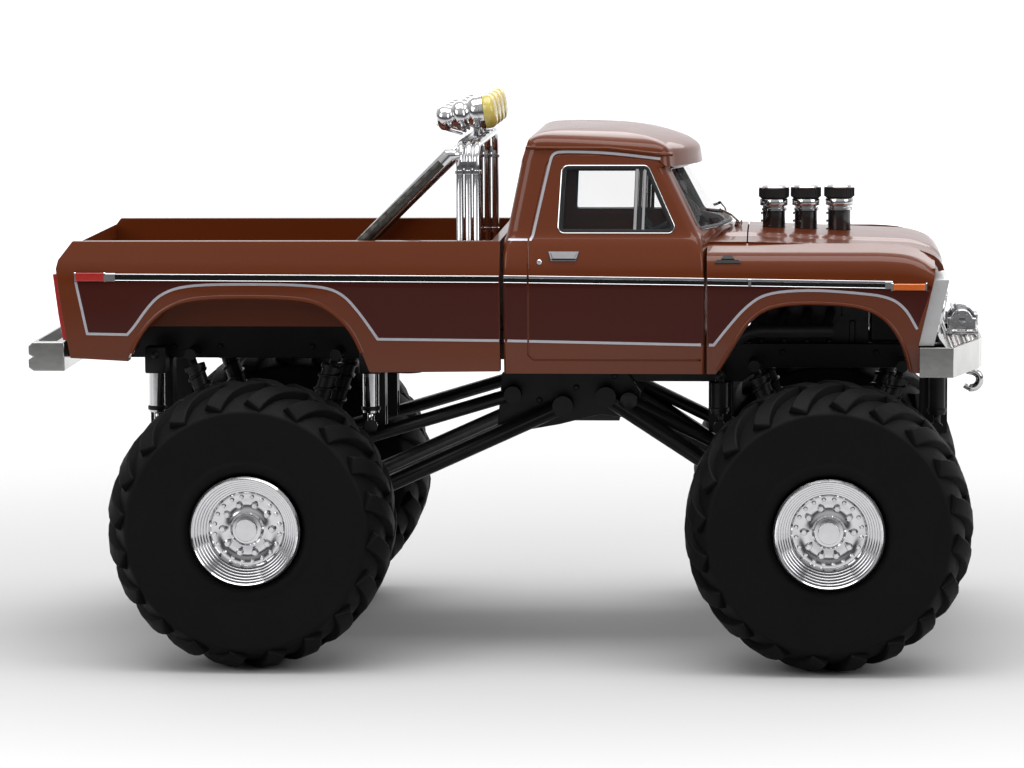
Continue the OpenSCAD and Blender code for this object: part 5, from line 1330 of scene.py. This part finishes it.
# The tyres: hollow rubber, turned to a flat sidewall, with two rows of slanted bars that wrap
# over the shoulders. The bars of one row stand between those of the other.
rubber = surfaced("tyre_rubber", (0.0020, 0.0020, 0.0026), (0.0040, 0.0040, 0.0049), (6, 4),
                  (1.4, 4, 0.22, 0.50), (0.22, 3, 0.02), Specular_IOR_Level=0.10)

wheels = [("front_left", 1), ("front_right", -1), ("rear_left", 1), ("rear_right", -1)]
bars_in_a_row, bar_slant, bar_curl = 20, math.radians(21), 0.85
# radius, and depth from the outer face
shoulder = [(7.63, 2.2), (7.75, 1.35), (8.2, 0.85), (8.7, 0.62), (9.2, 0.62), (9.45, 0.74), (9.8, 0.74),
            (15.9, 0.3), (16.35, 0.42), (16.7, 0.95), (17.2, 1.75), (17.85, 3.1), (18.25, 4.7), (18.4, 7.0)]
# depth from the outer face, radius, and the bar's lean out of the tread
bar_line = [(10.1, 18.3, 0.0), (8.6, 18.35, 0.0), (7.0, 18.4, 0.05), (5.4, 18.3, 0.2), (4.0, 18.05, 0.42),
            (2.8, 17.6, 0.7), (1.9, 17.1, 0.95), (1.2, 16.6, 1.25)]


def wheel_frame(name, side):
    """The wheel's centre line at its outer face, and its width, in metres"""
    lo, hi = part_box(name + "_tyre")
    outer = hi.y if side > 0 else -lo.y
    return Vector(((lo.x + hi.x) / 2, 0, (lo.z + hi.z) / 2)), outer, hi.y - lo.y


def to_side(bm, side, centre):
    """Moves a wheel drawn about the origin, outer face towards +Y, to its place on the truck"""
    bmesh.ops.scale(bm, vec=(1, side, 1), verts=bm.verts)
    bmesh.ops.translate(bm, vec=centre, verts=bm.verts)
    face_out(bm)
    return bm


for name, side in wheels:
    centre, outer, width = wheel_frame(name, side)
    wide, face_y = width / MM, outer / MM
    outline = [(r, face_y - d) for r, d in shoulder]
    outline += [(r, face_y - wide + d) for r, d in reversed(shoulder)]
    outline += [(9.2, face_y - wide + 3.2), (15.9, face_y - wide + 3.2), (15.9, face_y - 3.2),
                (9.2, face_y - 3.2)]
    bm = bmesh.new()
    spun(bm, outline, Vector(), (0, 1, 0), 96)
    for row in (0, 1):
        for k in range(bars_in_a_row):
            start = 2 * math.pi * (k + row * 0.5) / bars_in_a_row
            path, outs = [], []
            for d, r, lean in bar_line:
                swing = start + bar_slant * (d / bar_line[0][0]) ** bar_curl
                y = face_y - d if row == 0 else face_y - wide + d
                spoke = Vector((math.sin(swing), 0, math.cos(swing)))
                path.append(spoke * (r * MM) + Vector((0, y * MM, 0)))
                outs.append(spoke * math.cos(lean) + Vector((0, math.sin(lean) * (1 if row == 0 else -1), 0)))
            sweep(bm, path, [(-1.5, -0.7), (1.5, -0.7), (1.12, 1.1), (-1.12, 1.1)], outs)
    clean(bm)
    for v in bm.verts:
        reach = math.hypot(v.co.x, v.co.z)
        if reach > tyre_r * MM:
            v.co.x, v.co.z = v.co.x * tyre_r * MM / reach, v.co.z * tyre_r * MM / reach
        v.co.y = max((face_y - wide) * MM, min(face_y * MM, v.co.y))
    settle(to_side(bm, side, centre), name + "_tread", rubber, "tyre_rubber", name + "_wheel",
           [name + "_tyre"], edge=0.22, sharp=42)

# The rims: plastic plated bright, turned in steps down to a dished disc with two rings of bolts
# round the hub.
rim_profile = [(1.06, -17.6), (2.2, -17.6), (2.2, -5.0), (5.6, -5.4), (6.6, -6.0), (6.6, -17.0), (7.6, -17.0),
               (7.6, -1.2), (7.5, -0.3), (7.25, 0.0)]
for i in range(6):
    r, d = 7.0 - 0.33 * i, -0.18 - 0.42 * i
    rim_profile += [(r + 0.08, d), (r - 0.12, d - 0.02), (r - 0.17, d - 0.3)]
rim_profile += [(5.05, -2.9), (4.9, -3.02), (4.1, -3.0), (3.9, -3.08), (2.8, -3.08), (2.6, -2.98),
                (2.3, -2.92), (2.1, -2.75), (2.02, -2.5), (1.92, -2.4), (1.06, -2.35)]
for name, side in wheels:
    centre, outer, width = wheel_frame(name, side)
    face_y = outer / MM
    bm = bmesh.new()
    spun(bm, [(r, face_y + d) for r, d in rim_profile], Vector(), (0, 1, 0), 96)
    for ring, count, size, tall in ((4.45, 20, 0.33, 0.42), (3.35, 10, 0.52, 0.62)):
        for k in range(count):
            a = 2 * math.pi * (k + 0.5) / count
            foot = Vector((ring * MM * math.sin(a), (face_y - 2.99) * MM, ring * MM * math.cos(a)))
            bolt = bmesh.ops.create_cone(bm, cap_ends=True, segments=8, radius1=size * MM,
                                         radius2=size * 0.62 * MM, depth=tall * MM)["verts"]
            bmesh.ops.rotate(bm, verts=bolt, cent=(0, 0, 0), matrix=Matrix.Rotation(-math.pi / 2, 3, "X"))
            bmesh.ops.translate(bm, verts=bolt, vec=foot + Vector((0, tall / 2 * MM, 0)))
    settle(to_side(clean(bm), side, centre), name + "_plated_rim", chrome, "chrome", name + "_wheel",
           [name + "_rim"], sharp=28)
